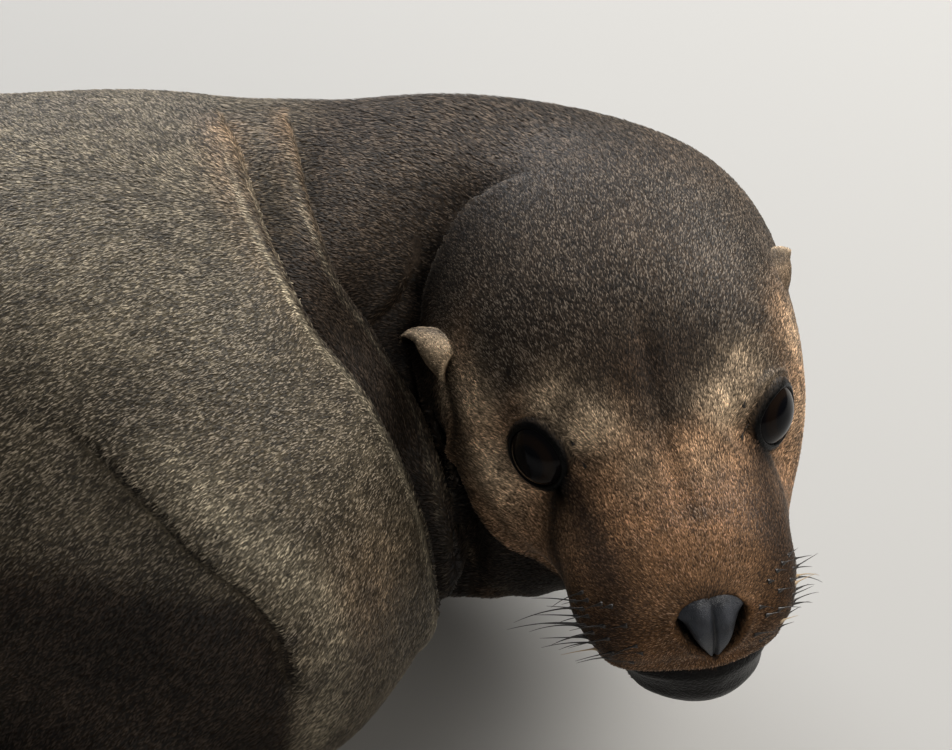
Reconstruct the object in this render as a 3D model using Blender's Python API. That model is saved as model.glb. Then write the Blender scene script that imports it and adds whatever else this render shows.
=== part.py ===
"""A young California sea lion lying on its belly, looking back over its right side: a life-size still model.

Metres, +Z up, the floor at Z = 0. +X runs from the tail to the chest, +Y to the animal's left.
The body is lofted through rings along its spine. Trunk, neck, head, jaw and limbs are grown together by one
voxel remesh, cut flat where they rest, and parted again by thin cuts where a person would name the parts.
"""

import math

import bmesh
import bpy
import numpy as np
from mathutils import Matrix, Vector

# ---- Driving dimensions --------------------------------------------------------------------------------
MM = 0.001
AROUND = 48            # corners of each lofted ring
VOXEL = 3.0 * MM       # cell of the remesh that grows the lofts together
CUT = 0.4 * MM         # thickness of the cuts between named parts
MERGE = 0.05 * MM      # corners of a cut nearer than this are one
FLESH_TRIANGLES = 4400  # of the whole body, before it is parted
HEAD_CARE = 0.01       # how much dearer an edge of the head is to the decimation than one of the trunk
HEAD_REACH = 150 * MM  # round the point between the eyes

EYE_MIDPOINT = Vector((82, -67, 199)) * MM  # origin of the head's own frame
HEADING = -71.0        # degrees from +X: where the nose points
NOSE_LIFT = 6.0        # degrees above level
LEAN = 5.6             # degrees: the left ear higher than the right

EYE_RADIUS = 17.5 * MM
EYE_POLE = Vector((4.0, 51.5, 0.0)) * MM     # outermost point of the left cornea, in the head's frame
EYE_AZIMUTH = 50.0     # degrees between the gaze of the eye and the head's forward axis
EYE_LIFT = 3.0
SOCKET_GAP = 0.5 * MM
LID_ANGLES = (0, 48, 58, 66, 76, 140)             # degrees off the gaze
LID_HIGHEST = (0.72, 0.78, 1.07, 1.30, 2.5, 9.0)  # of the eye's radius: how far out the flesh may stand
LID_LOWEST = (0.0, 0.0, 1.03, 1.05, 1.05, 0.0)    # and how far out it must

NOSE_PAD = ((92, 0, -26), (19, 16, 13))      # middle and radii in the head's frame, in mm
MOUTH_CORNER = -12                           # mm along the head: the jaw is parted behind this
MOUTH_HEIGHT = -55                           # mm: the level of the mouth line

EAR_TILT = 4                                 # mm: the left ear sits this much higher than the eyes' level
EAR_SHIFT = -2.4                             # mm: the back of the skull lies a little to the right

TAIL_ROOT = -672 * MM
HIPS_FRONT = -432 * MM
CHEST_BACK = -235 * MM
FORE_ROOT = Vector((-150, 163, 0)) * MM
HIND_ROOT = Vector((-610, 78, 0)) * MM
NECK_ROOT = Vector((-28, -70, 180)) * MM     # on the collar of skin the neck comes out of
NECK_ROOT_NORMAL = Vector((0.88, 0.40, 0.25))
NAPE = Vector((-96, 0, 0)) * MM              # in the head's frame
NAPE_NORMAL = Vector((0.857, 0, 0.514))

COAT = (0.23, 0.19, 0.15)
BARE_SKIN = (0.035, 0.03, 0.028)
EYE_DARK = (0.012, 0.008, 0.006)
FINISH = {
    "eye_left": (EYE_DARK, 0.08),
    "eye_right": (EYE_DARK, 0.08),
    "nose_pad": (BARE_SKIN, 0.45),
    "foreflipper_left": ((0.06, 0.05, 0.045), 0.6),
    "foreflipper_right": ((0.06, 0.05, 0.045), 0.6),
    "hind_flipper_left": ((0.06, 0.05, 0.045), 0.6),
    "hind_flipper_right": ((0.06, 0.05, 0.045), 0.6),
}


def in_head_frame():
    """Matrix from the head's frame (x to the nose, y to the left, z to the crown) to the world."""
    turn = Matrix.Rotation(math.radians(HEADING), 4, "Z")
    lift = Matrix.Rotation(math.radians(-NOSE_LIFT), 4, "Y")
    lean = Matrix.Rotation(math.radians(LEAN), 4, "X")
    return Matrix.Translation(EYE_MIDPOINT) @ turn @ lift @ lean


HEAD = in_head_frame()


# ---- Tools ---------------------------------------------------------------------------------------------
def clear_scene():
    for old in list(bpy.data.objects):
        bpy.data.objects.remove(old)


def add_object(name, mesh):
    made = bpy.data.objects.new(name, mesh)
    bpy.context.scene.collection.objects.link(made)
    return made


def evaluated(obj):
    """The object's mesh with its modifiers applied, in place of the old one."""
    graph = bpy.context.evaluated_depsgraph_get()
    mesh = bpy.data.meshes.new_from_object(obj.evaluated_get(graph))
    obj.modifiers.clear()
    obj.data = mesh
    return obj


def smooth_rows(rows, steps):
    """Rows of numbers with a cubic run through them, spaced by their first three columns."""
    rows = np.array(rows, float)
    gaps = np.linalg.norm(np.diff(rows[:, :3], axis=0), axis=1)
    at = np.concatenate([[0], np.cumsum(gaps)])
    slope = np.gradient(rows, at, axis=0)
    out = []
    for i, gap in enumerate(gaps):
        for t in np.arange(steps) / steps:
            h = (2 * t**3 - 3 * t**2 + 1, t**3 - 2 * t**2 + t, 3 * t**2 - 2 * t**3, t**3 - t**2)
            leaving = h[0] * rows[i] + h[1] * gap * slope[i]
            out.append(leaving + h[2] * rows[i + 1] + h[3] * gap * slope[i + 1])
    return np.array(out + [rows[-1]])


def dome(rows, ends):
    """Adds rings that close both ends in a quarter round, as long as `ends` says."""
    rows = list(rows)
    for at_end, length in zip((0, -1), ends):
        tip, inner = rows[at_end].copy(), rows[at_end + 1 if at_end == 0 else at_end - 1]
        way = (tip[:3] - inner[:3]) / np.linalg.norm(tip[:3] - inner[:3])
        for turn in np.radians((25, 45, 65, 82)):
            ring = tip.copy()
            ring[:3] = tip[:3] + way * length * math.sin(turn)
            ring[3:6] = tip[3:6] * math.cos(turn)
            rows.insert(0 if at_end == 0 else len(rows), ring)
    return np.array(rows)


def loft(name, stations, ends=(20, 20), steps=5, squareness=2.2, frame=None, up=(0, 0, 1), around=AROUND):
    """A closed tube. A station is x, y, z, half width, rise and drop about that centre, in mm."""
    rows = dome(smooth_rows(stations, steps), ends) * MM
    ways = np.gradient(rows[:, :3], axis=0)
    build = bmesh.new()
    rings = []
    for row, way in zip(rows, ways):
        forward = Vector(way).normalized()
        side = Vector(up).cross(forward).normalized()
        top = forward.cross(side)
        ring = []
        for turn in np.arange(around) * math.tau / around:
            c, s = math.cos(turn), math.sin(turn)
            across = row[3] * math.copysign(abs(c) ** (2 / squareness), c)
            high = (row[4] if s > 0 else row[5]) * math.copysign(abs(s) ** (2 / squareness), s)
            ring.append(build.verts.new(Vector(row[:3]) + side * across + top * high))
        rings.append(ring)
    for ring, following in zip(rings, rings[1:]):
        for i in range(around):
            j = (i + 1) % around
            build.faces.new((ring[i], ring[j], following[j], following[i]))
    build.faces.new(reversed(rings[0]))
    build.faces.new(rings[-1])
    bmesh.ops.recalc_face_normals(build, faces=build.faces)
    if frame:
        build.transform(frame)
    mesh = bpy.data.meshes.new(name)
    build.to_mesh(mesh)
    build.free()
    return add_object(name, mesh)


def ball(name, centre, radii, frame=None, subdivisions=4):
    """An ellipsoid: centre and radii in millimetres."""
    build = bmesh.new()
    bmesh.ops.create_icosphere(build, subdivisions=subdivisions, radius=1.0)
    build.transform(Matrix.Diagonal((*(Vector(radii) * MM), 1)))
    build.transform(Matrix.Translation(Vector(centre) * MM))
    if frame:
        build.transform(frame)
    mesh = bpy.data.meshes.new(name)
    build.to_mesh(mesh)
    build.free()
    return add_object(name, mesh)


def mirrored(stations):
    """The same stations on the other side of the body."""
    return [(x, -y, *rest) for x, y, *rest in stations]


# ---- Trunk, neck and head ------------------------------------------------------------------------------
def trunk():
    """Barrel from the tail's root to the chest."""
    return loft("trunk", [
        # x, y, z of the centre, half width, rise, drop
        (-690, 0, 36, 30, 22, 32),
        (-640, 0, 46, 56, 40, 50),
        (-560, 0, 66, 90, 64, 70),
        (-450, 0, 84, 118, 94, 89),
        (-330, 0, 102, 140, 114, 107),
        (-210, 0, 114, 153, 124, 119),
        (-125, 2, 120, 157, 123, 124),
        (-90, 4, 117, 150, 117, 121),
    ], ends=(25, 42))


def shoulders():
    """The right one is pushed forward over the neck by the bend, the left one back above the breast."""
    right = ball("shoulder_right", (-85, -62, 112), (78, 94, 102))
    left = ball("shoulder_left", (-95, 50, 120), (72, 108, 119))
    breast = ball("breast", (-70, 76, 84), (76, 86, 84))
    return [right, left, breast]


def neck():
    """Short thick neck. It leaves the chest to the left and forward, then turns hard to the right."""
    return loft("neck", [
        (-150, 20, 126, 90, 100, 100),
        (-90, 50, 132, 84, 100, 104),
        (-38, 82, 144, 72, 88, 96),
        (2, 88, 143, 74, 85, 92),
        (32, 71, 152, 79, 80, 90),
        (50, 38, 167, 76, 78, 90),
        (58, 6, 172, 70, 66, 80),
    ], ends=(30, 20))


def neck_rolls():
    """Skin pushed together on the inside of the neck's bend: a long roll and the throat below it."""
    roll = loft("roll", [
        (-84, 64, 214, 16, 16, 16),
        (-62, 27, 186, 14, 14, 14),
        (-44, 12, 166, 13, 13, 13),
        (-26, -7, 151, 14, 14, 14),
        (-9, -32, 139, 16, 16, 16),
        (2, -42, 122, 17, 17, 17),
    ], ends=(16, 16), squareness=2.0, up=(1, 0.4, 0))
    return [roll, ball("throat", (24, -20, 135), (44, 44, 42))]


def head():
    """Skull, muzzle and upper lip, in the head's frame: the row's z is the height of the widest line."""
    tall = [
        # x, height of the top, height of the underside, half width
        (86, -12, -38, 15),
        (79, -8, -48, 27),
        (64, -4, -53, 36),
        (46, 0, -56, 40),
        (28, 6, -60, 43),
        (10, 16, -65, 51),
        (-10, 29, -70, 60),
        (-35, 45, -77, 68),
        (-65, 54, -85, 74),
        (-92, 58, -93, 76),
        (-114, 56, -98, 72),
    ]
    stations = []
    for x, top, under, width in reversed(tall):
        level = np.interp(x, (-60, 40), (0.5, 0.42))
        widest = level * top + (1 - level) * under
        stations.append((x, EAR_SHIFT * max(-x, 0) / 80, widest, width, top - widest, widest - under))
    return loft("head", stations, ends=(20, 7), squareness=2.35, frame=HEAD)


def lower_jaw():
    tall = [
        (74, -54, -69, 13),
        (67, -50, -78, 20),
        (50, -48, -84, 27),
        (22, -46, -82, 31),
        (-10, -46, -84, 38),
        (-50, -50, -90, 48),
    ]
    stations = []
    for x, top, under, width in reversed(tall):
        stations.append((x, 0, (top + under) / 2, width, (top - under) / 2, (top - under) / 2))
    return loft("lower_jaw", stations, ends=(20, 8), frame=HEAD)


def whisker_pads():
    """The two soft cushions of the upper lip that hold the whiskers."""
    return [ball(f"pad_{side}", (58, side * 19, -34), (26, 20, 21), frame=HEAD) for side in (-1, 1)]


# ---- Limbs and tail ------------------------------------------------------------------------------------
FORE_ARM = [
    # shoulder inside the chest, elbow, wrist, then the blade swept back along the floor
    (-105, 70, 92, 62, 50, 55),
    (-125, 118, 72, 62, 42, 52),
    (-150, 160, 44, 58, 27, 40),
    (-185, 190, 22, 52, 15, 24),
    (-235, 213, 12, 50, 9, 13),
    (-290, 228, 9, 45, 6.5, 9),
    (-345, 238, 8, 36, 5.5, 8),
    (-392, 243, 7, 22, 4.5, 7),
]


def foreflipper(name, stations):
    return loft(name, stations, ends=(20, 12), squareness=2.0)


def hind_flipper(name, side):
    """Short leg turned forward beside the hips, and five toes joined by a web, flat on the floor."""
    leg = loft(f"{name}_leg", [
        (-610, side * 40, 45, 42, 30, 42),
        (-618, side * 82, 32, 36, 22, 30),
        (-600, side * 116, 18, 31, 13, 17),
        (-575, side * 140, 11, 33, 8, 10),
    ], ends=(15, 12), squareness=2.0)
    parts = [leg]
    for toe, (spread, length) in enumerate(((-24, 150), (-12, 132), (0, 124), (12, 130), (25, 146))):
        way = math.radians(side * (42 + spread * 1.0))
        root = np.array((-600, side * 116))
        run = [root + np.array((math.cos(way), math.sin(way))) * length * t for t in (0, 0.35, 0.7, 1)]
        parts.append(loft(f"{name}_toe_{toe}", [
            (*run[0], 14, 13, 9, 13),
            (*run[1], 10, 14, 7, 10),
            (*run[2], 7.5, 14, 5.5, 7.5),
            (*run[3], 6, 12, 4, 6),
        ], ends=(10, 11), steps=3, squareness=2.0))
    return parts


def tail():
    return loft("tail", [
        (-660, 0, 34, 30, 18, 24),
        (-700, 0, 28, 17, 10, 13),
        (-735, 0, 22, 12, 6, 8),
        (-758, 0, 18, 8, 4.5, 5.5),
    ], ends=(15, 8), squareness=2.0)


# ---- Growing the body together -------------------------------------------------------------------------
def grown_together(name, parts):
    """One closed skin round overlapping pieces."""
    build = bmesh.new()
    for part in parts:
        build.from_mesh(part.data)
        bpy.data.objects.remove(part)
    mesh = bpy.data.meshes.new(name)
    build.to_mesh(mesh)
    build.free()
    body = add_object(name, mesh)
    remesh = body.modifiers.new("remesh", "REMESH")
    remesh.mode = "VOXEL"
    remesh.voxel_size = VOXEL
    smooth = body.modifiers.new("smooth", "SMOOTH")
    smooth.factor, smooth.iterations = 0.5, 14
    return evaluated(body)


def hold_eyeballs(body):
    """Shapes the lids: flesh stands back from each cornea and hugs the ball round it."""
    for side in (-1, 1):
        centre, gaze = eye(side)
        for vertex in body.data.vertices:
            away = vertex.co - centre
            if away.length > 2.4 * EYE_RADIUS:
                continue
            open_angle = math.degrees(away.angle(gaze))
            highest = np.interp(open_angle, LID_ANGLES, LID_HIGHEST) * EYE_RADIUS
            lowest = np.interp(open_angle, LID_ANGLES, LID_LOWEST) * EYE_RADIUS
            vertex.co = centre + away * (min(max(away.length, lowest), highest) / away.length)


def eye(side):
    """Centre and gaze of one eyeball in the world: side is 1 for the left."""
    turn, lift = math.radians(EYE_AZIMUTH), math.radians(EYE_LIFT)
    gaze = Vector((math.cos(lift) * math.cos(turn), side * math.cos(lift) * math.sin(turn), math.sin(lift)))
    pole = Vector((EYE_POLE.x, side * EYE_POLE.y, EYE_POLE.z))
    return HEAD @ (pole - gaze * EYE_RADIUS), HEAD.to_3x3() @ gaze


def fewer_triangles(body):
    plain = body.vertex_groups.new(name="plain")
    for vertex in body.data.vertices:
        far = (vertex.co - EYE_MIDPOINT).length / HEAD_REACH
        plain.add([vertex.index], float(np.interp(far, (0.6, 1.3), (0.2, 1))), "REPLACE")
    thin = body.modifiers.new("decimate", "DECIMATE")
    thin.vertex_group = plain.name
    thin.vertex_group_factor = HEAD_CARE
    triangles = sum(len(face.vertices) - 2 for face in body.data.polygons)
    thin.ratio = FLESH_TRIANGLES / triangles
    return evaluated(body)


# ---- Cutting -------------------------------------------------------------------------------------------
def kept_side(mesh, point, normal):
    """What lies on the side of the plane the normal points to, closed with flat faces."""
    build = bmesh.new()
    build.from_mesh(mesh)
    everything = build.verts[:] + build.edges[:] + build.faces[:]
    bmesh.ops.bisect_plane(build, geom=everything, plane_co=point, plane_no=normal, clear_inner=True)
    rim = [edge for edge in build.edges if edge.is_boundary]
    rim_corners = list({corner for edge in rim for corner in edge.verts})
    bmesh.ops.remove_doubles(build, verts=rim_corners, dist=MERGE)
    rim = [edge for edge in build.edges if edge.is_boundary]
    caps = bmesh.ops.holes_fill(build, edges=rim)["faces"]
    bmesh.ops.triangulate(build, faces=caps)
    bmesh.ops.recalc_face_normals(build, faces=build.faces)
    cut = bpy.data.meshes.new(mesh.name)
    build.to_mesh(cut)
    build.free()
    return cut


def parted(whole, behind, ahead, point, normal):
    """Cuts one object into two across a plane, a hair apart. The normal points to the part named `ahead`."""
    point, normal = Vector(point), Vector(normal).normalized()
    front = add_object(ahead, kept_side(whole.data, point + normal * CUT / 2, normal))
    back = add_object(behind, kept_side(whole.data, point - normal * CUT / 2, -normal))
    bpy.data.objects.remove(whole)
    return back, front


def box(name, low, high, frame):
    """A box between two corners given in millimetres."""
    build = bmesh.new()
    bmesh.ops.create_cube(build, size=1.0)
    low, high = Vector(low) * MM, Vector(high) * MM
    build.transform(Matrix.Translation((low + high) / 2) @ Matrix.Diagonal((*(high - low), 1)))
    build.transform(frame)
    mesh = bpy.data.meshes.new(name)
    build.to_mesh(mesh)
    build.free()
    return add_object(name, mesh)


def swollen(source, name, by):
    """A copy of a solid grown outwards along its normals."""
    copy = add_object(name, source.data.copy())
    for vertex, normal in zip(copy.data.vertices, [vertex.normal.copy() for vertex in source.data.vertices]):
        vertex.co += normal * by
    return copy


def combined(target, tool, operation):
    """Applies an exact Boolean and removes the tool."""
    step = target.modifiers.new(operation.lower(), "BOOLEAN")
    step.operation, step.solver, step.object = operation, "EXACT", tool
    evaluated(target)
    bpy.data.objects.remove(tool)
    return target


def cut_out(whole, piece, shape, looser_shape):
    """Takes `shape` out of a solid as a piece of its own, with a hair's gap left by `looser_shape`."""
    part = add_object(piece, whole.data.copy())
    combined(part, shape, "INTERSECT")
    combined(whole, looser_shape, "DIFFERENCE")
    return part


# ---- The head's small parts ----------------------------------------------------------------------------
def eyeballs(head_part):
    for side, name in ((-1, "eye_right"), (1, "eye_left")):
        centre, gaze = eye(side)
        look = gaze.to_track_quat("Z", "Y").to_matrix().to_4x4()
        socket = round_ball("socket", centre, EYE_RADIUS + SOCKET_GAP, look)
        combined(head_part, socket, "DIFFERENCE")
        round_ball(name, centre, EYE_RADIUS, look)


def round_ball(name, centre, radius, turn):
    build = bmesh.new()
    bmesh.ops.create_uvsphere(build, u_segments=22, v_segments=12, radius=radius)
    build.transform(Matrix.Translation(centre) @ turn)
    mesh = bpy.data.meshes.new(name)
    build.to_mesh(mesh)
    build.free()
    return add_object(name, mesh)


def ears(head_part, neck_part):
    """Small pinched cones, swept back. Their roots are cut to the skull, a hair off it."""
    for side, name in ((-1, "ear_right"), (1, "ear_left")):
        cone = loft(name, [
            # x, y, z, half thickness, rise, drop
            (-74, side * 62 + EAR_SHIFT, side * EAR_TILT, 6, 9, 9),
            (-82, side * 70 + EAR_SHIFT, side * EAR_TILT, 6.5, 9.5, 9.5),
            (-90, side * 76 + EAR_SHIFT, side * EAR_TILT + 1, 5.5, 8.5, 8.5),
            (-97, side * 79.5 + EAR_SHIFT, side * EAR_TILT + 2, 4.5, 6.5, 6.5),
            (-104, side * 82 + EAR_SHIFT, side * EAR_TILT + 3, 2.8, 4, 4),
        ], ends=(2, 3), steps=2, squareness=2.0, frame=HEAD, around=12)
        for near in (head_part, neck_part):
            combined(cone, swollen(near, "near", CUT), "DIFFERENCE")


def nose(head_part):
    """The leather pad at the tip of the snout."""
    middle, radii = NOSE_PAD
    loose = [radius + CUT / MM for radius in radii]
    pad = ball("pad", middle, radii, frame=HEAD, subdivisions=3)
    cut_out(head_part, "nose_pad", pad, ball("pad_hole", middle, loose, frame=HEAD, subdivisions=3))


def jaw(head_part):
    """The lower jaw, parted along the mouth and behind its corner."""
    low, high, gap = (MOUTH_CORNER, -90, -160), (120, 90, MOUTH_HEIGHT), CUT / MM
    tight = box("jaw", low, high, HEAD)
    loose = box("jaw_hole", (low[0] - gap, low[1], low[2]), (high[0], high[1], high[2] + gap), HEAD)
    cut_out(head_part, "lower_jaw", tight, loose)


# ---- The whole animal ----------------------------------------------------------------------------------
def grown_body():
    parts = [trunk(), neck(), head(), lower_jaw(), tail()]
    parts += shoulders()
    parts += whisker_pads()
    parts += neck_rolls()
    parts += [foreflipper("fore_left", FORE_ARM), foreflipper("fore_right", mirrored(FORE_ARM))]
    parts += hind_flipper("hind_left", 1) + hind_flipper("hind_right", -1)
    body = grown_together("body", parts)
    hold_eyeballs(body)
    fewer_triangles(body)
    body.data = kept_side(body.data, (0, 0, 0), (0, 0, 1))
    return body


def part_body(body):
    """Cuts the body where a person would name its parts, and returns the neck and the head."""
    tail_part, body = parted(body, "tail", "body", (TAIL_ROOT, 0, 0), (1, 0, 0))
    hips, body = parted(body, "hips", "body", (HIPS_FRONT, 0, 0), (1, 0, 0))
    for side, name in ((-1, "hind_flipper_right"), (1, "hind_flipper_left")):
        root = Vector((HIND_ROOT.x, side * HIND_ROOT.y, 0))
        hips, flipper = parted(hips, "hips", name, root, (-0.31, side * 0.95, 0))
    for side, name in ((-1, "foreflipper_right"), (1, "foreflipper_left")):
        body, flipper = parted(body, "body", name, (FORE_ROOT.x, side * FORE_ROOT.y, 0), (-0.08, side, 0))
    body, front = parted(body, "trunk", "front", NECK_ROOT, NECK_ROOT_NORMAL)
    parted(body, "loins", "chest", (CHEST_BACK, 0, 0), (1, 0, 0))
    turned = HEAD.to_3x3()
    return parted(front, "neck", "head", HEAD @ NAPE, turned @ NAPE_NORMAL)


def stand_centred():
    """Moves everything so that the middle of the whole model's footprint is the origin."""
    solids = [obj for obj in bpy.data.objects if obj.type == "MESH"]
    corners = [vertex.co for obj in solids for vertex in obj.data.vertices]
    middle = [(min(c[axis] for c in corners) + max(c[axis] for c in corners)) / 2 for axis in (0, 1)]
    for obj in solids:
        obj.data.transform(Matrix.Translation((-middle[0], -middle[1], 0)))


def paint():
    """Each named part gets a material of its own."""
    for obj in bpy.data.objects:
        colour, roughness = FINISH.get(obj.name, (COAT, 0.75))
        material = bpy.data.materials.new(f"{obj.name}_finish")
        material.use_nodes = True
        shader = material.node_tree.nodes["Principled BSDF"]
        shader.inputs["Base Color"].default_value = (*colour, 1)
        shader.inputs["Roughness"].default_value = roughness
        material.diffuse_color = (*colour, 1)
        obj.data.materials.clear()
        obj.data.materials.append(material)


def main():
    clear_scene()
    neck_part, head_part = part_body(grown_body())
    ears(head_part, neck_part)
    eyeballs(head_part)
    nose(head_part)
    jaw(head_part)
    paint()
    stand_centred()


main()
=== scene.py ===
"""A young California sea lion at life size, lying on its belly and looking back over its right side."""
import math

import bmesh
import bpy
import numpy as np
from mathutils import Matrix, Vector
from mathutils.bvhtree import BVHTree


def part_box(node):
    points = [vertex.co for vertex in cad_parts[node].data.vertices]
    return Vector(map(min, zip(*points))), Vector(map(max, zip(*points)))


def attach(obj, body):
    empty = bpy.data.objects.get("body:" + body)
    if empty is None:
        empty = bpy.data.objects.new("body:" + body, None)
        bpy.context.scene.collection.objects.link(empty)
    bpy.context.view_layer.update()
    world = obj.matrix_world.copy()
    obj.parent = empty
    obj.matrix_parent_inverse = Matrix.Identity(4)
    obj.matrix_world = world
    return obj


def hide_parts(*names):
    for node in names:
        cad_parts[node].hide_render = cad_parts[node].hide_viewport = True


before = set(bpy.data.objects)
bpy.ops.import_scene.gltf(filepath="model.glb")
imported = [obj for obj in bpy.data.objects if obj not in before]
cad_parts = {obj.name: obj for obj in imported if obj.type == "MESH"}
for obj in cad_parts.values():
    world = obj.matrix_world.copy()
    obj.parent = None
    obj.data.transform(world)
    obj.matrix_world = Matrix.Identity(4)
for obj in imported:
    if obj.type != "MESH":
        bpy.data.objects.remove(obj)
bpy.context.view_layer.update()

# ---- The room --------------------------------------------------------------------------------------------
# A plain pale floor under soft studio light. The big lamp hangs high, ahead of the animal and to its left, so
# the ridge of the back and the folds catch a thin bright rim and the right flank falls into shade.
MM = 0.001


def new_object(name, mesh):
    thing = bpy.data.objects.new(name, mesh)
    bpy.context.scene.collection.objects.link(thing)
    return thing


def plain_material(name, colour, roughness, **finish):
    """A material of one colour. Other inputs of its shader go by their names, with _ for each space. An input
    that nodes feed later doesn't show its value here, so changing that changes nothing in the looks."""
    material = bpy.data.materials.new(name)
    material.use_nodes = True
    inputs = material.node_tree.nodes["Principled BSDF"].inputs
    inputs["Base Color"].default_value = (*colour, 1)
    inputs["Roughness"].default_value = roughness
    for word, value in finish.items():
        inputs[word.replace("_", " ")].default_value = value
    return material


FLOOR_REACH = 8
corners = [(x * FLOOR_REACH, y * FLOOR_REACH, 0) for x, y in ((-1, -1), (1, -1), (1, 1), (-1, 1))]
floor_mesh = bpy.data.meshes.new("floor")
floor_mesh.from_pydata(corners, [], [(0, 1, 2, 3)])
floor_mesh.materials.append(plain_material("pale floor", (0.44, 0.435, 0.42), 0.8))
floor = new_object("floor", floor_mesh)

world = bpy.data.worlds.new("studio")
world.use_nodes = True
sky = world.node_tree.nodes["Background"].inputs
sky["Color"].default_value = (0.80, 0.88, 1.0, 1)
sky["Strength"].default_value = 0.10
bpy.context.scene.world = world
bpy.context.scene.view_settings.view_transform = "Standard"

LAMPS = [  # name, place, size, power, colour
    ("sky_panel", (1.4, 1.2, 1.9), 1.4, 74, (1.0, 0.97, 0.93)),
    ("back_panel", (-0.4, 1.8, 1.4), 1.2, 34, (0.97, 0.98, 1.0)),
    ("near_panel", (1.5, -1.7, 1.4), 1.0, 14, (1.0, 0.94, 0.86)),
]
gaze_at = Vector((0.33, -0.02, 0.13))
for lamp_name, place, size, power, colour in LAMPS:
    lamp_data = bpy.data.lights.new(lamp_name, "AREA")
    lamp_data.size = size
    lamp_data.energy = power
    lamp_data.color = colour
    lamp = new_object(lamp_name, lamp_data)
    lamp.location = place
    lamp.rotation_euler = (gaze_at - Vector(place)).to_track_quat("-Z", "Y").to_euler()

# ---- The eyes --------------------------------------------------------------------------------------------
# Glass balls, nearly black, under a wet clear cornea that swells a little at the front. Each one is set in
# its socket from behind, and the lids close round it. The head's own frame is set by where they are.
HEAD_TURN, HEAD_PITCH, HEAD_ROLL = -71.0, -6.0, 5.6
EYE_RADIUS = 17.5
EYE_AZIMUTH, EYE_LIFT = 50.0, 3.0
EYE_SET = Vector((-7.2, 38.1, -0.9))
IRIS_ANGLES, IRIS_SHARES = (22, 27, 36, 40), (0, 1, 1, 0.2)
CORNEA_SWELL, CORNEA_EDGE = 0.035, 38


def unit(vectors, least=0.0):
    """A vector, or each row of many, brought to length 1. `least` spares a row of length 0."""
    if vectors.ndim == 1:
        return vectors / np.linalg.norm(vectors)
    return vectors / (np.linalg.norm(vectors, axis=1)[:, None] + least)


def box_middle(part):
    low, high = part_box(part)
    return (low + high) / 2


head_turn = (
    Matrix.Rotation(math.radians(HEAD_TURN), 3, "Z")
    @ Matrix.Rotation(math.radians(HEAD_PITCH), 3, "Y")
    @ Matrix.Rotation(math.radians(HEAD_ROLL), 3, "X")
)
between_eyes = (box_middle("eye_left") + box_middle("eye_right")) / 2
head_origin = between_eyes - head_turn @ Vector((EYE_SET.x, 0, EYE_SET.z)) * MM
TURN = np.array(head_turn)
ORIGIN = np.array(head_origin)


def eye_middle(side):
    return np.array([EYE_SET.x, side * EYE_SET.y, EYE_SET.z])


def to_head(points):
    """World metres to the head's own millimetres: x out of the snout, y to its left, z up."""
    return (points - ORIGIN) @ TURN / MM


def from_head(points):
    return np.asarray(points, float) * MM @ TURN.T + ORIGIN


def gaze_axes(side):
    """The way an eye looks, with its sideways and upward axes, in the head's frame."""
    turn, lift = math.radians(EYE_AZIMUTH), math.radians(EYE_LIFT)
    ahead = np.array([math.cos(lift) * math.cos(turn), side * math.cos(lift) * math.sin(turn),
                      math.sin(lift)])
    across = unit(np.cross([0, 0, 1.0], ahead) * -side)
    upward = np.cross(ahead, across) * -side
    return ahead, across, upward


def eye_angles(points, side):
    """Distance from an eyeball's centre in mm, and degrees forward and upward from its gaze."""
    ahead, across, upward = gaze_axes(side)
    away = points - eye_middle(side)
    reach = np.linalg.norm(away, axis=1) + 1e-9
    forward = np.degrees(np.arctan2(away @ across, away @ ahead))
    lift = np.degrees(np.arcsin(np.clip(away @ upward / reach, -1, 1)))
    return reach, forward, lift


def node(tree, kind, settings=None, **wires):
    """Adds a node. Each wire is a value for the input of that name, or another node's output."""
    made = tree.nodes.new(kind)
    for name, value in (settings or {}).items():
        setattr(made, name, value)
    for name, value in wires.items():
        socket = made.inputs[int(name[1:])] if name[0] == "i" and name[1:].isdigit() else made.inputs[name]
        if isinstance(value, bpy.types.NodeSocket):
            tree.links.new(value, socket)
        else:
            socket.default_value = value
    return made


def feed(tree, name, output):
    """Joins an output to the shader's input of that name."""
    tree.links.new(output, tree.nodes["Principled BSDF"].inputs[name])


def sheet(tree, name):
    """Values laid over the surface beforehand, by their name."""
    return node(tree, "ShaderNodeAttribute", {"attribute_name": name}).outputs["Fac"]


def eye_material():
    material = plain_material("wet dark eye", (0.004, 0.0035, 0.003), 0.12,
                              Coat_Weight=0.10, Coat_Roughness=0.02, Specular_IOR_Level=0.06)
    tree = material.node_tree
    colours = node(tree, "ShaderNodeValToRGB", None, Fac=sheet(tree, "iris"))
    colours.color_ramp.elements[0].color = (0.002, 0.002, 0.003, 1)
    colours.color_ramp.elements[1].color = (0.010, 0.006, 0.004, 1)
    feed(tree, "Base Color", colours.outputs["Color"])
    return material


def mesh_of(name, build):
    """The mesh of a finished build, with its faces outwards."""
    bmesh.ops.recalc_face_normals(build, faces=build.faces)
    mesh = bpy.data.meshes.new(name)
    build.to_mesh(mesh)
    build.free()
    return mesh


def smooth_piece(name, mesh, material):
    mesh.materials.append(material)
    mesh.shade_smooth()
    return new_object(name, mesh)


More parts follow.
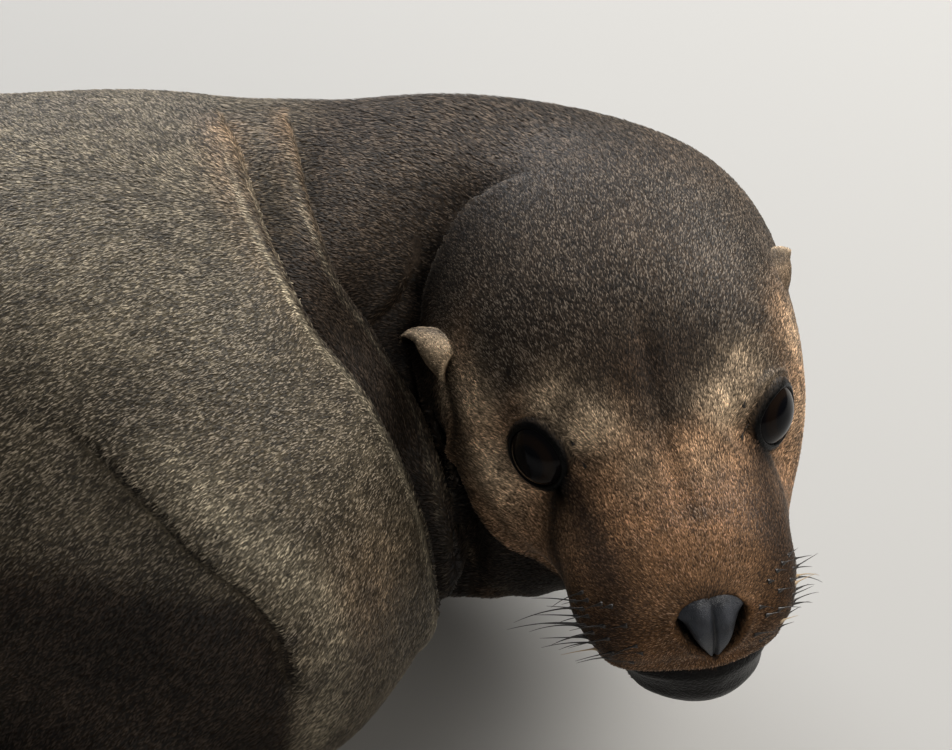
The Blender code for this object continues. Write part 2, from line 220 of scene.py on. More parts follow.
wet_eye = eye_material()
for side, name in ((1, "eye_left"), (-1, "eye_right")):
    ahead, across, upward = gaze_axes(side)
    build = bmesh.new()
    bmesh.ops.create_uvsphere(build, u_segments=64, v_segments=40, radius=EYE_RADIUS)
    iris = build.verts.layers.float.new("iris")
    for vertex in build.verts:
        off_pole = math.degrees(vertex.co.angle(Vector((0, 0, 1))))
        vertex[iris] = float(np.interp(off_pole, IRIS_ANGLES, IRIS_SHARES))
        vertex.co *= 1 + CORNEA_SWELL * float(np.interp(off_pole, (0, CORNEA_EDGE), (1, 0))) ** 0.7
    turn = Matrix(np.column_stack([-side * across, upward, ahead]).tolist()).to_4x4()
    build.transform(Matrix.Translation(head_origin) @ head_turn.to_4x4() @ Matrix.Scale(MM, 4)
                    @ Matrix.Translation(eye_middle(side)) @ turn)
    ball = smooth_piece(name + "_ball", mesh_of(name + "_ball", build), wet_eye)
    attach(ball, "root")
    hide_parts(name)

# ---- The camera ------------------------------------------------------------------------------------------
# It stands to the animal's right, opposite the turned head, and looks down at it and at the neck's folds.
VIEW_AZIMUTH, VIEW_ELEVATION, VIEW_DISTANCE = 10.0, 38.0, 1.4
VIEW_MIDDLE = Vector((-79.8, 60.3, -32.4)) * MM
VIEW_WIDTH = 0.390
SENSOR = 36.0

azimuth, elevation = math.radians(VIEW_AZIMUTH), math.radians(VIEW_ELEVATION)
view_right = Vector((math.cos(azimuth), math.sin(azimuth), 0))
view_up = Vector((-math.sin(azimuth) * math.sin(elevation), math.cos(azimuth) * math.sin(elevation),
                  math.cos(elevation)))
view_back = view_right.cross(view_up)
camera_data = bpy.data.cameras.new("camera")
camera_data.sensor_width = SENSOR
camera_data.lens = SENSOR * VIEW_DISTANCE / VIEW_WIDTH
camera_data.clip_start, camera_data.clip_end = 0.05, 30
camera = new_object("camera", camera_data)
camera.matrix_world = Matrix.Translation(between_eyes + VIEW_MIDDLE + view_back * VIEW_DISTANCE) @ Matrix(
    [view_right, view_up, view_back]).transposed().to_4x4()
bpy.context.scene.camera = camera

# ---- The skin --------------------------------------------------------------------------------------------
# One hide over the whole body, from the lips to the tips of the flippers, with no seam: loose and folded
# where the neck turns, tight on the skull. It is grown from the carved parts, relaxed, and worked finer
# towards the face, where lids, lips and nostrils are modelled. The coat stands on it.
FLESH = ["head", "lower_jaw", "nose_pad", "eye_left", "eye_right", "neck", "chest", "loins", "hips", "tail",
         "foreflipper_left", "foreflipper_right", "hind_flipper_left", "hind_flipper_right"]
SEAM_FILL = 0.45
CLAY = 4.8
WELD = 0.00002
CENTRE = np.array([311.3, -0.2, 0.0])


def joined_flesh():
    build = bmesh.new()
    for node in FLESH:
        part = bmesh.new()
        part.from_mesh(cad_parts[node].data)
        bmesh.ops.remove_doubles(part, verts=part.verts, dist=WELD)
        part.normal_update()
        moved = [vertex.co + vertex.normal * SEAM_FILL * MM for vertex in part.verts]
        for vertex, place in zip(part.verts, moved):
            vertex.co = place
        loose = bpy.data.meshes.new("loose")
        part.to_mesh(loose)
        part.free()
        build.from_mesh(loose)
        bpy.data.meshes.remove(loose)
    mesh = bpy.data.meshes.new("hide")
    build.to_mesh(mesh)
    build.free()
    hide = new_object("hide", mesh)
    remesh = hide.modifiers.new("clay", "REMESH")
    remesh.mode = "VOXEL"
    remesh.voxel_size = CLAY * MM
    graph = bpy.context.evaluated_depsgraph_get()
    grown = bpy.data.meshes.new_from_object(hide.evaluated_get(graph))
    bpy.data.objects.remove(hide)
    return grown


def to_body(points):
    """World metres to millimetres from the body's middle: x towards the chest, y to its left, z up."""
    return points / MM - CENTRE


def from_body(places):
    return (places + CENTRE) * MM


def read_out(items, field, width, kind=float):
    """One field of all of a mesh's points, edges or faces, in rows."""
    rows = np.empty(len(items) * width, kind)
    items.foreach_get(field, rows)
    return rows.reshape(-1, width)


def mesh_points(mesh):
    return read_out(mesh.vertices, "co", 3)


def mesh_edges(mesh):
    return read_out(mesh.edges, "vertices", 2, np.int64)


def surface_normals(mesh):
    return read_out(mesh.vertices, "normal", 3)


def set_points(mesh, points):
    mesh.vertices.foreach_set("co", np.ascontiguousarray(points, np.float32).ravel())
    mesh.update()


def neighbour_mean(values, edges):
    one, other = edges.T
    count = np.bincount(np.r_[one, other], minlength=len(values))
    total = [np.bincount(one, values[other, k], len(values)) + np.bincount(other, values[one, k], len(values))
             for k in range(values.shape[1])]
    return np.stack(total, 1) / np.maximum(count, 1)[:, None]


def relaxed(points, edges, amount, rounds):
    """Eases each point towards the middle of its neighbours, by amounts from 0 to 1."""
    for _ in range(rounds):
        points = points + amount[:, None] * (neighbour_mean(points, edges) - points)
    return points


def away_from(points, middle, size=1):
    """Distance of points from a middle, counted in the half sizes of an oval round it."""
    return np.linalg.norm((points - np.array(middle)) / np.array(size), axis=1)


def bump(distance, width):
    """A soft hump: 1 at distance 0, falling off over a width."""
    return np.exp(-(distance / width) ** 2)


def ease(low, high, values):
    """0 below low, 1 above high, smooth between; low may be the greater."""
    t = np.clip((values - low) / (high - low), 0, 1)
    return t * t * (3 - 2 * t)


def flipper_share(points):
    """1 on the flippers, 0 on the body, from world metres."""
    x, y, z = to_body(points).T
    fore = ease(150, 175, np.abs(y)) * ease(-135, -165, x) * ease(-470, -440, x)
    hind = ease(96, 120, np.abs(y)) * ease(-440, -470, x)
    return np.maximum(fore, hind) * ease(80, 60, z)


FLATTENED, LOWEST = 0.004, 0.0005  # skin below the first height rests on the floor, and stays over the second
TAIL = [  # place along the body, mid height, how much wider and how much taller relaxed skin is made there
    (-760, 18.0, 6.0, 5.0), (-755, 18.3, 5.0, 4.5), (-745, 19.8, 3.0, 2.0),
    (-735, 21.8, 2.0, 1.4), (-720, 26.6, 1.3, 1.1), (-705, 31.5, 1.0, 1.0),
]
HIND_ROOT = (-600, 116)
TOE_WAYS = (66, 54, 42, 30, 17)  # bearings of the toes of a hind flipper, in degrees from straight ahead
TOE_RIDGE = 1.6


def rough_out(mesh):
    """Relaxes the clay's facets away, fills out the tail, which that thins, and raises the toes' ridges."""
    points, edges = mesh_points(mesh), mesh_edges(mesh)
    from_eyes = np.linalg.norm(to_head(points), axis=1)
    amount = 0.5 * np.interp(from_eyes, (70, 130), (0.30, 1.0)) * (1 - 0.85 * flipper_share(points))
    grounded = points[:, 2] < FLATTENED
    floor_level = points[:, 2].copy()
    points = relaxed(points, edges, amount, 36)
    points[grounded, 2] = np.maximum(floor_level[grounded], LOWEST)
    places = to_body(points)
    stations, *shape = zip(*TAIL)
    middle, wider, taller = (np.interp(places[:, 0], stations, row) for row in shape)
    places[:, 1] *= wider
    places[:, 2] = middle + (places[:, 2] - middle) * taller
    mirrored = places * [1, -1, 1]
    for turn in TOE_WAYS:
        ahead = np.array([math.cos(math.radians(turn)), math.sin(math.radians(turn))])
        for spots in (places, mirrored):
            out = (spots[:, :2] - HIND_ROOT) @ ahead
            aside = (spots[:, :2] - HIND_ROOT) @ np.array([-ahead[1], ahead[0]])
            ridge = bump(aside, 4.5 + 0.02 * out) * ease(25, 70, out) * ease(165, 120, out)
            ridge *= ease(3, 6, places[:, 2])
            places[:, 2] += TOE_RIDGE * ridge * (places[:, 2] < 30)
    set_points(mesh, from_body(places))


def split_faces(build, near_enough):
    """Divides in four each face whose middle passes the test."""
    middles = np.array([face.calc_center_median() for face in build.faces])
    chosen = near_enough(middles)
    edges = {edge for face, pick in zip(build.faces, chosen) if pick for edge in face.edges}
    bmesh.ops.subdivide_edges(build, edges=list(edges), cuts=1, use_grid_fill=True, smooth=0)


# Folds of loose skin, each a path over the surface in millimetres from the body's middle, and the way that
# its lip faces. The cheek's is in the head's frame. The throat's is only a painted highlight line, with no
# fold.
COLLAR = [(-122, 78, 236), (-115, 52, 238), (-98, 8, 235), (-81, -22, 229), (-63, -42, 216), (-43, -51, 196),
          (-27, -63, 178), (-16, -69, 158), (-8, -72, 125), (-10, -68, 97), (-14, -78, 80)]
NECK_ROLL = [(-92, 76, 236), (-87, 52, 236), (-70, 9, 228), (-58, -10, 213), (-44, -12, 185), (-27, -26, 168),
             (-10, -48, 152), (0, -60, 125), (0, -64, 100)]
HEAD_BACK = [(20, 44, 240), (3, 42, 231), (-9, 36, 223), (-17, 20, 212), (-22, 5, 198), (-24, -2, 185)]
THROAT = [(-6, -39, 166), (-2, -46, 152), (0, -45, 136), (4, -47, 126), (10, -51, 119), (18, -54, 114)]
NECK_CREASE = [(-22, 44, 218), (-29, 24, 206), (-36, 7, 193), (-41, -2, 188), (-43, -8, 185)]
CHEEK_EDGE = [(-58, -80, -8), (-52, -77, -22), (-43, -70, -37), (-32, -62, -50), (-24, -54, -59),
              (-15, -42, -66)]
SHOULDER = [(-146, -110, 212), (-129, -117, 206), (-103, -128, 189), (-79, -137, 170), (-61, -138, 156),
            (-48, -140, 137), (-45, -141, 105)]
COLLAR_WAY, ROLL_WAY, HEAD_WAY = (-1, -0.4, 0.2), (-1, -0.3, 0.2), (0.33, -0.9, 0.1)
SHOULDER_WAY, CHEEK_WAY = (0.6, 0.5, 0.6), (0.75, -0.1, 0.6)


def path_points(corners, count=80):
    """Evenly spaced points along a smooth run through the corners."""
    corners = np.array(corners, float)
    at = np.r_[0, np.cumsum(np.linalg.norm(np.diff(corners, axis=0), axis=1))]
    slope = np.gradient(corners, at, axis=0)
    t = np.linspace(0, at[-1], count)
    k = np.clip(np.searchsorted(at, t, side="right") - 1, 0, len(at) - 2)
    gap = at[k + 1] - at[k]
    s = ((t - at[k]) / gap)[:, None]
    gap = gap[:, None]
    return ((1 + 2 * s) * (1 - s) ** 2 * corners[k] + s * (1 - s) ** 2 * gap * slope[k]
            + s * s * (3 - 2 * s) * corners[k + 1] + s * s * (s - 1) * gap * slope[k + 1])


def nearest_on_path(places, path):
    """For each place: its distance to the path, how far along it is, the path's way there, and that point."""
    best = np.full(len(places), np.inf)
    index = np.zeros(len(places), int)
    for k, point in enumerate(path):
        gap = np.einsum("ij,ij->i", places - point, places - point)
        closer = gap < best
        best[closer], index[closer] = gap[closer], k
    direction = unit(np.gradient(path, axis=0))
    return np.sqrt(best), index / (len(path) - 1), direction[index], path[index]


def near_folds(middles):
    places = to_body(middles)
    near = away_from(to_head(middles), (-10, 0, -15)) < 112
    for path in (COLLAR, NECK_ROLL, SHOULDER):
        near |= nearest_on_path(places, path_points(path, 24))[0] < 34
    return near


def near_features(middles):
    head = to_head(middles)
    x, y, z = head.T
    near = (x > 62) & (z > -64) & (z < -8) & (np.abs(y) < 34)
    near |= (np.abs(z - lip_level(x)) < 4) & (x > -22) & (np.abs(y) < 60) & (x < 100)
    for side in (-1, 1):
        reach, forward, lift = eye_angles(head, side)
        near |= (reach < 30) & (np.hypot(forward, lift) < 82)
        near |= away_from(head, (-82, side * 72, 0)) < 13
    for path in (COLLAR, NECK_ROLL):
        near |= nearest_on_path(to_body(middles), path_points(path, 60))[0] < 6.5
    return near


def lip_level(x):
    """Height of the mouth line in the head's frame."""
    return np.interp(x, (-25, -8, 20, 55, 80, 95), (-57, -59, -58.5, -56.5, -54.5, -54))


hide_mesh = joined_flesh()
rough_out(hide_mesh)
bpy.context.view_layer.update()
unwrap_object = new_object("hide", hide_mesh)
bpy.context.view_layer.objects.active = unwrap_object
unwrap_object.select_set(True)
bpy.ops.object.mode_set(mode="EDIT")
bpy.ops.mesh.select_all(action="SELECT")
bpy.ops.uv.smart_project(angle_limit=math.radians(66), island_margin=0.004)
bpy.ops.object.mode_set(mode="OBJECT")
hide_mesh.uv_layers[0].name = "unwrap"

build = bmesh.new()
build.from_mesh(hide_mesh)
split_faces(build, near_folds)
split_faces(build, near_features)
bmesh.ops.triangulate(build, faces=build.faces)
build.to_mesh(hide_mesh)
build.free()
fine = near_folds(mesh_points(hide_mesh)).astype(float)
set_points(hide_mesh, relaxed(mesh_points(hide_mesh), mesh_edges(hide_mesh), 0.5 * fine, 5))


def push(mesh, amounts):
    """Moves the surface out along its normals by amounts in millimetres."""
    set_points(mesh, mesh_points(mesh) + surface_normals(mesh) * amounts[:, None] * MM)


def across_path(places, normals, line, over):
    """Signed distance over the surface from a path, above 0 on the side that `over` points to."""
    gap, along, direction, foot = nearest_on_path(places, line)
    sideways = unit(np.cross(direction, normals), 1e-9)
    sideways *= np.sign(sideways @ np.array(over, float))[:, None]
    return gap, along, sideways, np.einsum("ij,ij->i", places - foot, sideways)


PATH_STEPS = 160
# Path, way, lip's height and width, the valley's drop and width, lap, deepening along it, and faded ends.
FOLDS = [
    (COLLAR, COLLAR_WAY, 2.6, 14, 9.5, 12, 4.6, 0.9, (0.16, 0.10)),
    (NECK_ROLL, ROLL_WAY, 3.4, 8, 8.5, 13, 3.6, 0.5, (0.16, 0.10)),
    (NECK_CREASE, ROLL_WAY, 1.4, 6, 2.8, 8, 0.8, 0.0, (0.5, 0.3)),
    (HEAD_BACK, HEAD_WAY, 2.0, 12, 5.0, 10, 1.2, 0.0, (0.45, 0.2)),
    (to_body(from_head(CHEEK_EDGE)), TURN @ np.array(CHEEK_WAY), 1.8, 9, 3.6, 9, 1.2, 0.0, (0.3, 0.3)),
    (SHOULDER, SHOULDER_WAY, 4.0, 24, 4.5, 22, 1.4, 0.0, (0.3, 0.1)),
]


def fold(mesh, path, over, lip, lip_width, step, valley, lap, deeper, ends):
    """Skin lapping over skin along a path: a rounded lip on the side that `over` points to, and a valley."""
    points, normals = mesh_points(mesh), surface_normals(mesh)
    places = to_body(points)
    line = path_points(path, PATH_STEPS)
    gap, along, sideways, across = across_path(places, normals, line, over)
    near = gap < 6
    own = np.array([normals[near][np.argmin(((places[near] - point) ** 2).sum(1))] for point in line])
    facing = np.einsum("ij,ij->i", own[np.round(along * (PATH_STEPS - 1)).astype(int)], normals)
    fade = ease(0, ends[0], along) * ease(1, 1 - ends[1], along) * bump(np.maximum(gap - 36, 0), 8)
    fade *= ease(-0.1, 0.45, facing)
    on_lip = ease(-1.6, 1.6, across)
    depth = step * (1 + deeper * (along - 0.3))
    shape = on_lip * lip * bump(np.maximum(across - 1, 0), lip_width)
    shape -= (1 - on_lip) * depth * np.exp(-(np.maximum(-across, 0) / valley) ** 1.8)
    moved = normals * (shape * fade)[:, None] - sideways * (lap * bump(across - 0.8, 3.6) * fade)[:, None]
    set_points(mesh, points + moved * MM)


for one_fold in FOLDS:
    fold(hide_mesh, *one_fold)

# The face. The lower jaw tucks in under the upper lip, the whisker pads swell, and the leather of the nose
# has a bed of its own between the furred wings of the nostrils.
SWELLS = [  # middle on the left, half sizes, height and softness, the same on both sides
    ((66, 21, -38), (20, 14, 14), 2.2, 0.9),  # whisker pad
    ((14, 30, 14), (16, 12, 9), 1.6, 1.0),  # brow
    ((27, 34, -6), (10, 9, 12), -0.2, 1.0),  # hollow in front of the eye
]
JAW_DROP, THROAT_DROP = 4.2, 5.0
PAD_NEAR, PAD_FAR, PAD_FORWARD = 8.0, 2.0, 1.5


def shape_face(mesh):
    head = to_head(mesh_points(mesh))
    x, y, z = head.T
    over_lip = z - lip_level(x)
    fore = ease(-24, -6, x) * ease(66, 56, np.abs(y)) * ease(112, 104, x)
    amount = -3.4 * bump(over_lip, 1.5) * fore
    amount += 1.6 * bump(over_lip - 4.0, 3.0) * ease(0, 40, x) * fore
    amount -= 1.2 * ease(0.5, -2.5, over_lip) * ease(-16, -9, over_lip) * fore
    for side in (-1, 1):
        for (ahead, aside, high), size, height, softness in SWELLS:
            amount += height * bump(away_from(head, (ahead, side * aside, high), size), softness)
    amount -= 1.0 * bump(y, 4.0) * bump(np.maximum(np.abs(x - 20) - 24, 0), 14) * ease(-15, 0, z)
    push(mesh, amount)
    head = to_head(mesh_points(mesh))
    jaw = ease(0.5, -3.5, over_lip) * ease(22, 56, x) * ease(112, 104, x) * ease(66, 56, np.abs(y))
    jaw *= z < -40
    head[:, 2] -= JAW_DROP * jaw
    head[:, 1] *= 1 + 0.07 * jaw
    throat = ease(0.0, -9, over_lip) * ease(-95, -45, x) * ease(56, 22, x) * ease(60, 46, np.abs(y))
    throat *= z < -50
    head[:, 2] -= THROAT_DROP * throat * (over_lip > -45)
    swell = np.interp(x, (-40, 10, 34, 52), (0, 0.16, 0.62, 1.0)) * ease(106, 74, x) * ease(-2, -24, z)
    swell = swell * ease(8, 27, np.abs(y)) * ease(84, 74, np.abs(y))
    swell *= 1 - 0.7 * ease(-54, -61, z)
    head[:, 1] += np.where(y < 0, -PAD_NEAR, PAD_FAR) * swell
    head[:, 0] += PAD_FORWARD * swell * (y < 0)
    set_points(mesh, from_head(head))


shape_face(hide_mesh)

NOSE_TOP, NOSE_FOOT, NOSE_MIDDLE = -20.0, -47.0, 1.4
NOSE_BACK = 60.0  # skin and leather of the nose lie in front of this
BED_DEPTH, WING_RIM = 7.5, 1.4


def wing_line(z):
    """Half the width of the bed of the nose at a height."""
    over = np.sqrt(np.clip(1 - (np.maximum(z + 27, 0) / 8.2) ** 2, 0.05, 1))
    under = 1 - np.clip((-27 - z) / 21, 0, 0.93) ** 1.25
    return 13.4 * over * under


def face_tree(mesh, points):
    """A mesh's faces, laid on given points, ready to be hit by rays."""
    return BVHTree.FromPolygons([tuple(p) for p in points], [tuple(f.vertices) for f in mesh.polygons])


def surface_ahead(mesh, y, z):
    """How far forward the skin stands at a height and a distance to the side, in the head's frame."""
    tree = face_tree(mesh, to_head(mesh_points(mesh)))
    reach = []
    for side, height in zip(np.ravel(y), np.ravel(z)):
        hit = tree.ray_cast(Vector((140, side, height)), Vector((-1, 0, 0)))[0]
        reach.append(hit.x if hit else NOSE_BACK)
    return np.array(reach).reshape(np.shape(y))


nose_y, nose_z = np.meshgrid(np.linspace(-16, 16, 81) + NOSE_MIDDLE,
                             np.linspace(NOSE_FOOT - 0.5, NOSE_TOP + 1.5, 71))
nose_x = surface_ahead(hide_mesh, nose_y, nose_z)


def bed_nose(mesh):
    """Sinks the skin under the leather, with a firm rim along the nostrils' wings."""
    head = to_head(mesh_points(mesh))
    x, z = head[:, 0], head[:, 2]
    y = head[:, 1] - NOSE_MIDDLE
    past_wing = np.abs(y) - wing_line(z)
    inside = ease(0.4, -0.9, past_wing) * ease(NOSE_FOOT - 1, NOSE_FOOT + 2, z)
    inside *= ease(NOSE_TOP + 1, NOSE_TOP - 2, z) * (x > NOSE_BACK)
    slit = ease(-24, -27, z) * ease(3.6, 5.0, np.abs(y) + 0.42 * (z + 46) * (z < -38))
    inside *= 0.28 + 0.72 * np.clip(slit + (z < -36), 0, 1)
    rim = bump(past_wing - 2.4, 2.2) * ease(-46, -40, z) * ease(-20, -26, z) * (x > NOSE_BACK)
    head[:, 0] += WING_RIM * rim - BED_DEPTH * inside
    set_points(mesh, from_head(head))


bed_nose(hide_mesh)

# Lids: a round soft margin that hugs the ball, a shallow furrow above it, and a wet dark edge.
LID_FORWARD, LID_BACK, LID_DOWN = 49.0, 43.0, 46.0
LID_UP = {-1: 47.0, 1: 36.0}
LID_ROUNDNESS = 2.1
LID_SHARES = (0, 0.9, 1.0, 1.08, 1.2, 1.35, 1.5, 1.7)  # 1 at the margin, more outwards from it
LID_HEIGHTS = (0.9, 0.9, 1.0, 1.4, 1.3, 1.1, 1.6, 1.9)  # over the ball at each of these, in millimetres
LID_RINGS = [  # share and height of each ring of the margin, turning in under itself
    (1.0, 1.0), (0.98, 0.95), (0.965, 0.7), (0.955, 0.4), (0.96, 0.15), (1.0, -1.2)]


def lid_share(points, side):
    """1 on the margin of the lids, less inside the opening, more outside."""
    _, forward, lift = eye_angles(points, side)
    wide = np.where(forward > 0, LID_FORWARD, LID_BACK)
    tall = np.where(lift > 0, LID_UP[side], LID_DOWN)
    out = np.abs(forward / wide) ** LID_ROUNDNESS + np.abs(lift / tall) ** LID_ROUNDNESS
    return out ** (1 / LID_ROUNDNESS)


def shape_lids(mesh):
    head = to_head(mesh_points(mesh))
    for side in (-1, 1):
        reach, forward, lift = eye_angles(head, side)
        share = lid_share(head, side)
        near = (reach < 34) & (share < 2.6) & (np.abs(forward) < 120)
        wanted = EYE_RADIUS + np.interp(share, LID_SHARES, LID_HEIGHTS)
        wanted += ease(0, 25, lift) * (1.5 * bump(share - 1.5, 0.10) - 0.9 * bump(share - 1.33, 0.07))
        fixed = reach + ease(1.9, 1.3, share) * near * (wanted - reach)
        head += ((head - eye_middle(side)) / reach[:, None]) * (fixed - reach)[:, None] * near[:, None]
    set_points(mesh, from_head(head))


shape_lids(hide_mesh)


def open_lids(mesh):
    """Cuts each opening, draws its edge to the lid line and turns the margin in under itself."""
    build = bmesh.new()
    build.from_mesh(mesh)
    for side in (-1, 1):
        ahead, across, upward = gaze_axes(side)
        places = to_head(np.array([vertex.co for vertex in build.verts]))
        reach, forward, lift = eye_angles(places, side)
        inside = (lid_share(places, side) < 1.0) & (reach < 26) & (np.abs(forward) < 80)
        gone = [face for face in build.faces if any(inside[vertex.index] for vertex in face.verts)]
        bmesh.ops.delete(build, geom=gone, context="FACES")
        rim = [edge for edge in build.edges if edge.is_boundary]
        for ring, (scale, height) in enumerate(LID_RINGS):
            if ring:
                made = bmesh.ops.extrude_edge_only(build, edges=rim)["geom"]
                rim = [part for part in made if isinstance(part, bmesh.types.BMEdge)]
            corners = list({vertex for edge in rim for vertex in edge.verts})
            spots = to_head(np.array([vertex.co for vertex in corners]))
            reach, forward, lift = eye_angles(spots, side)
            shrink = scale / lid_share(spots, side)
            f, v = np.radians(forward * shrink), np.radians(lift * shrink)
            way = (np.cos(v) * np.cos(f))[:, None] * ahead + (np.cos(v) * np.sin(f))[:, None] * across
            way += np.sin(v)[:, None] * upward
            placed = from_head(eye_middle(side) + way * (EYE_RADIUS + height))
            for vertex, place in zip(corners, placed):
                vertex.co = place
        closing = bmesh.ops.holes_fill(build, edges=rim)["faces"]
        bmesh.ops.triangulate(build, faces=closing)
        build.verts.index_update()
    bmesh.ops.recalc_face_normals(build, faces=build.faces)
    build.to_mesh(mesh)
    build.free()


open_lids(hide_mesh)

# The ears: short cones rolled from one leaf of skin, pinched to a point, hollow and open below. They are part
# of the hide, furred outside and nearly bare within.
EAR_ROOT, EAR_BEND, EAR_TIP = (-61, 66.0, 8), (-80, 80.0, 13.0), (-102, 85.0, -4)
EAR_SHIFT = {1: np.array([-9.5, -8.0, 1.5]), -1: np.array([0.0, 0.0, 0.0])}
EAR_WALL = 1.5
EAR_COLUMNS = 17
UNWRAP_SHARE = 0.955  # of the map's width for the hide, the rest for the ears
unwrap_layer = hide_mesh.uv_layers["unwrap"]
flat = read_out(unwrap_layer.data, "uv", 2) * UNWRAP_SHARE
unwrap_layer.data.foreach_set("uv", np.ascontiguousarray(flat, np.float32).ravel())


def ear_leaf(side):
    """Points and faces of one rolled ear, in the head's frame. add_ears gives it a map of its own beside the
    hide's.
    """
    along = np.linspace(0, 1, 19)
    round_it = np.linspace(-1, 1, EAR_COLUMNS)
    root, bend, tip = (np.array([x, side * y, z]) + EAR_SHIFT[side]
                       for x, y, z in (EAR_ROOT, EAR_BEND, EAR_TIP))
    points, rows = [], []
    for t in along:
        middle = (1 - t) ** 2 * root + 2 * t * (1 - t) * bend + t * t * tip
        ahead = unit(2 * (1 - t) * (bend - root) + 2 * t * (tip - bend))
        above = np.array([-0.62, side * 0.05, 0.78])
        above = unit(above - ahead * (above @ ahead))
        inward = -side * np.cross(ahead, above)
        radius = np.interp(t, (0, 0.35, 0.7, 0.9, 1), (10.5, 9.0, 6.4, 3.8, 1.2))
        back_edge = np.interp(t, (0, 0.5, 1), (150, 130, 85))
        front_edge = np.interp(t, (0, 0.2, 0.4, 1), (150, 112, 66, 36))
        for thick in (0.0, EAR_WALL * np.interp(t, (0, 1), (1.3, 0.6))):
            row = []
            for r in round_it:
                turn = math.radians((back_edge - front_edge) / 2 + r * (back_edge + front_edge) / 2)
                way = math.cos(turn) * above * 0.95 + math.sin(turn) * inward
                row.append(len(points))
                points.append(middle + way * (radius - thick) - ahead * 1.2 * math.cos(turn) * t)
            rows.append(row)
    outer, inner = rows[::2], rows[1::2]
    faces = []
    for leaf in (outer, inner):
        for low, high in zip(leaf, leaf[1:]):
            faces += [(low[k], low[k + 1], high[k + 1], high[k]) for k in range(len(low) - 1)]
    for k in (0, -1):
        faces += [(outer[i][k], outer[i + 1][k], inner[i + 1][k], inner[i][k]) for i in range(len(outer) - 1)]
    for i in (0, -1):
        faces += [(outer[i][k], outer[i][k + 1], inner[i][k + 1], inner[i][k])
                  for k in range(EAR_COLUMNS - 1)]
    return points, faces


def add_ears(mesh):
    build = bmesh.new()
    build.from_mesh(mesh)
    layer = build.loops.layers.uv["unwrap"]
    skull = len(build.verts)
    for side in (-1, 1):
        points, faces = ear_leaf(side)
        corners = [build.verts.new(place) for place in from_head(points)]
        middle = np.mean(points, axis=0)
        for face in faces:
            made = build.faces.new([corners[index] for index in face])
            for loop, index in zip(made.loops, face):
                spot = points[index] - middle
                loop[layer].uv = (0.978 + 0.0009 * spot[2], 0.25 + 0.25 * (side + 1) - 0.004 * spot[0])
        build.normal_update()
    leaf_faces = [face for face in build.faces if all(v.index >= skull or v.index < 0 for v in face.verts)]
    bmesh.ops.recalc_face_normals(build, faces=leaf_faces)
    bmesh.ops.triangulate(build, faces=build.faces)
    build.to_mesh(mesh)
    build.free()
    return skull


first_ear_point = add_ears(hide_mesh)

# ---- What grows where ------------------------------------------------------------------------------------
# The pelt is dark on the neck and crown, tan on the face, grey olive on the trunk, pale on the ears, and bare
# black leather on the flippers, lips and lids. Shade is painted dark into the folds' valleys, behind the arm,
# under the cheek's edge and on the neck, and highlights are painted pale along the crests. Hair lies from the
# snout to the tail and down each flipper.
SPINE = [(93, 0, -28), (70, 0, -22), (35, 0, -14), (0, 0, -10), (-40, 0, -8), (-80, 0, -8)]
NECK_LINE = [(50, 38, 167), (32, 71, 152), (2, 88, 143), (-38, 82, 144), (-90, 50, 132), (-150, 20, 126),
             (-210, 0, 114), (-330, 0, 102), (-450, 0, 84), (-560, 0, 66), (-640, 0, 46), (-690, 0, 36)]
FORE_LINE = [(-105, 70, 92), (-125, 118, 72), (-150, 160, 44), (-185, 190, 22), (-235, 213, 12),
             (-290, 228, 9), (-345, 238, 8), (-400, 245, 7)]
HIND_LINE = [(-590, 60, 50), (-600, 116, 24), (-560, 152, 12), (-500, 206, 8), (-470, 232, 6)]


HAIR_REACH = 50 ** 2  # a run's pull on the hair levels off within 50 mm of it
FLIPPER_GIRTH = 0.34  # the runs of the flippers reach this much as far as the body's


def lie_of_hair(points, normals):
    places = to_body(points)
    runs = [(to_body(from_head(SPINE)).tolist() + NECK_LINE, 1.0)]
    for side in (1, -1):
        runs += [([(x, side * y, z) for x, y, z in line], FLIPPER_GIRTH) for line in (FORE_LINE, HIND_LINE)]
    total = np.zeros_like(places)
    for run, girth in runs:
        run = path_points(run, 60)
        for point, way in zip(run, unit(np.gradient(run, axis=0))):
            gap = ((places - point) ** 2).sum(1) / girth ** 2
            total += way / (gap[:, None] + HAIR_REACH) ** 2
    total = unit(total)
    from_nose = to_head(points) - np.array([84, 0, -24])
    reach = np.linalg.norm(from_nose, axis=1)[:, None]
    total += unit(from_head(from_nose) - ORIGIN, 1e-12) * 1.6 * bump(reach, 42)
    x, y, z = places.T
    behind = across_path(places, normals, path_points(COLLAR, 60), COLLAR_WAY)[3]
    flank = ease(-4, 6, behind) * ease(-640, -300, x) * ease(60, 10, x)
    each = np.ones(len(places))
    downward = np.stack([-0.6 * each, 0.55 * np.tanh(y / 30), -0.55 * each], 1)
    total = total * (1 - 0.7 * flank[:, None]) + 1.6 * flank[:, None] * downward
    total += 0.10 * np.stack([np.sin(y / 31 + 1.3) + np.sin(z / 17), np.sin(z / 26) + np.sin(x / 21 + 0.6),
                              np.sin(x / 29 + 2.1) + np.sin(y / 19)], 1)
    total -= normals * np.einsum("ij,ij->i", total, normals)[:, None]
    return unit(total, 1e-9)


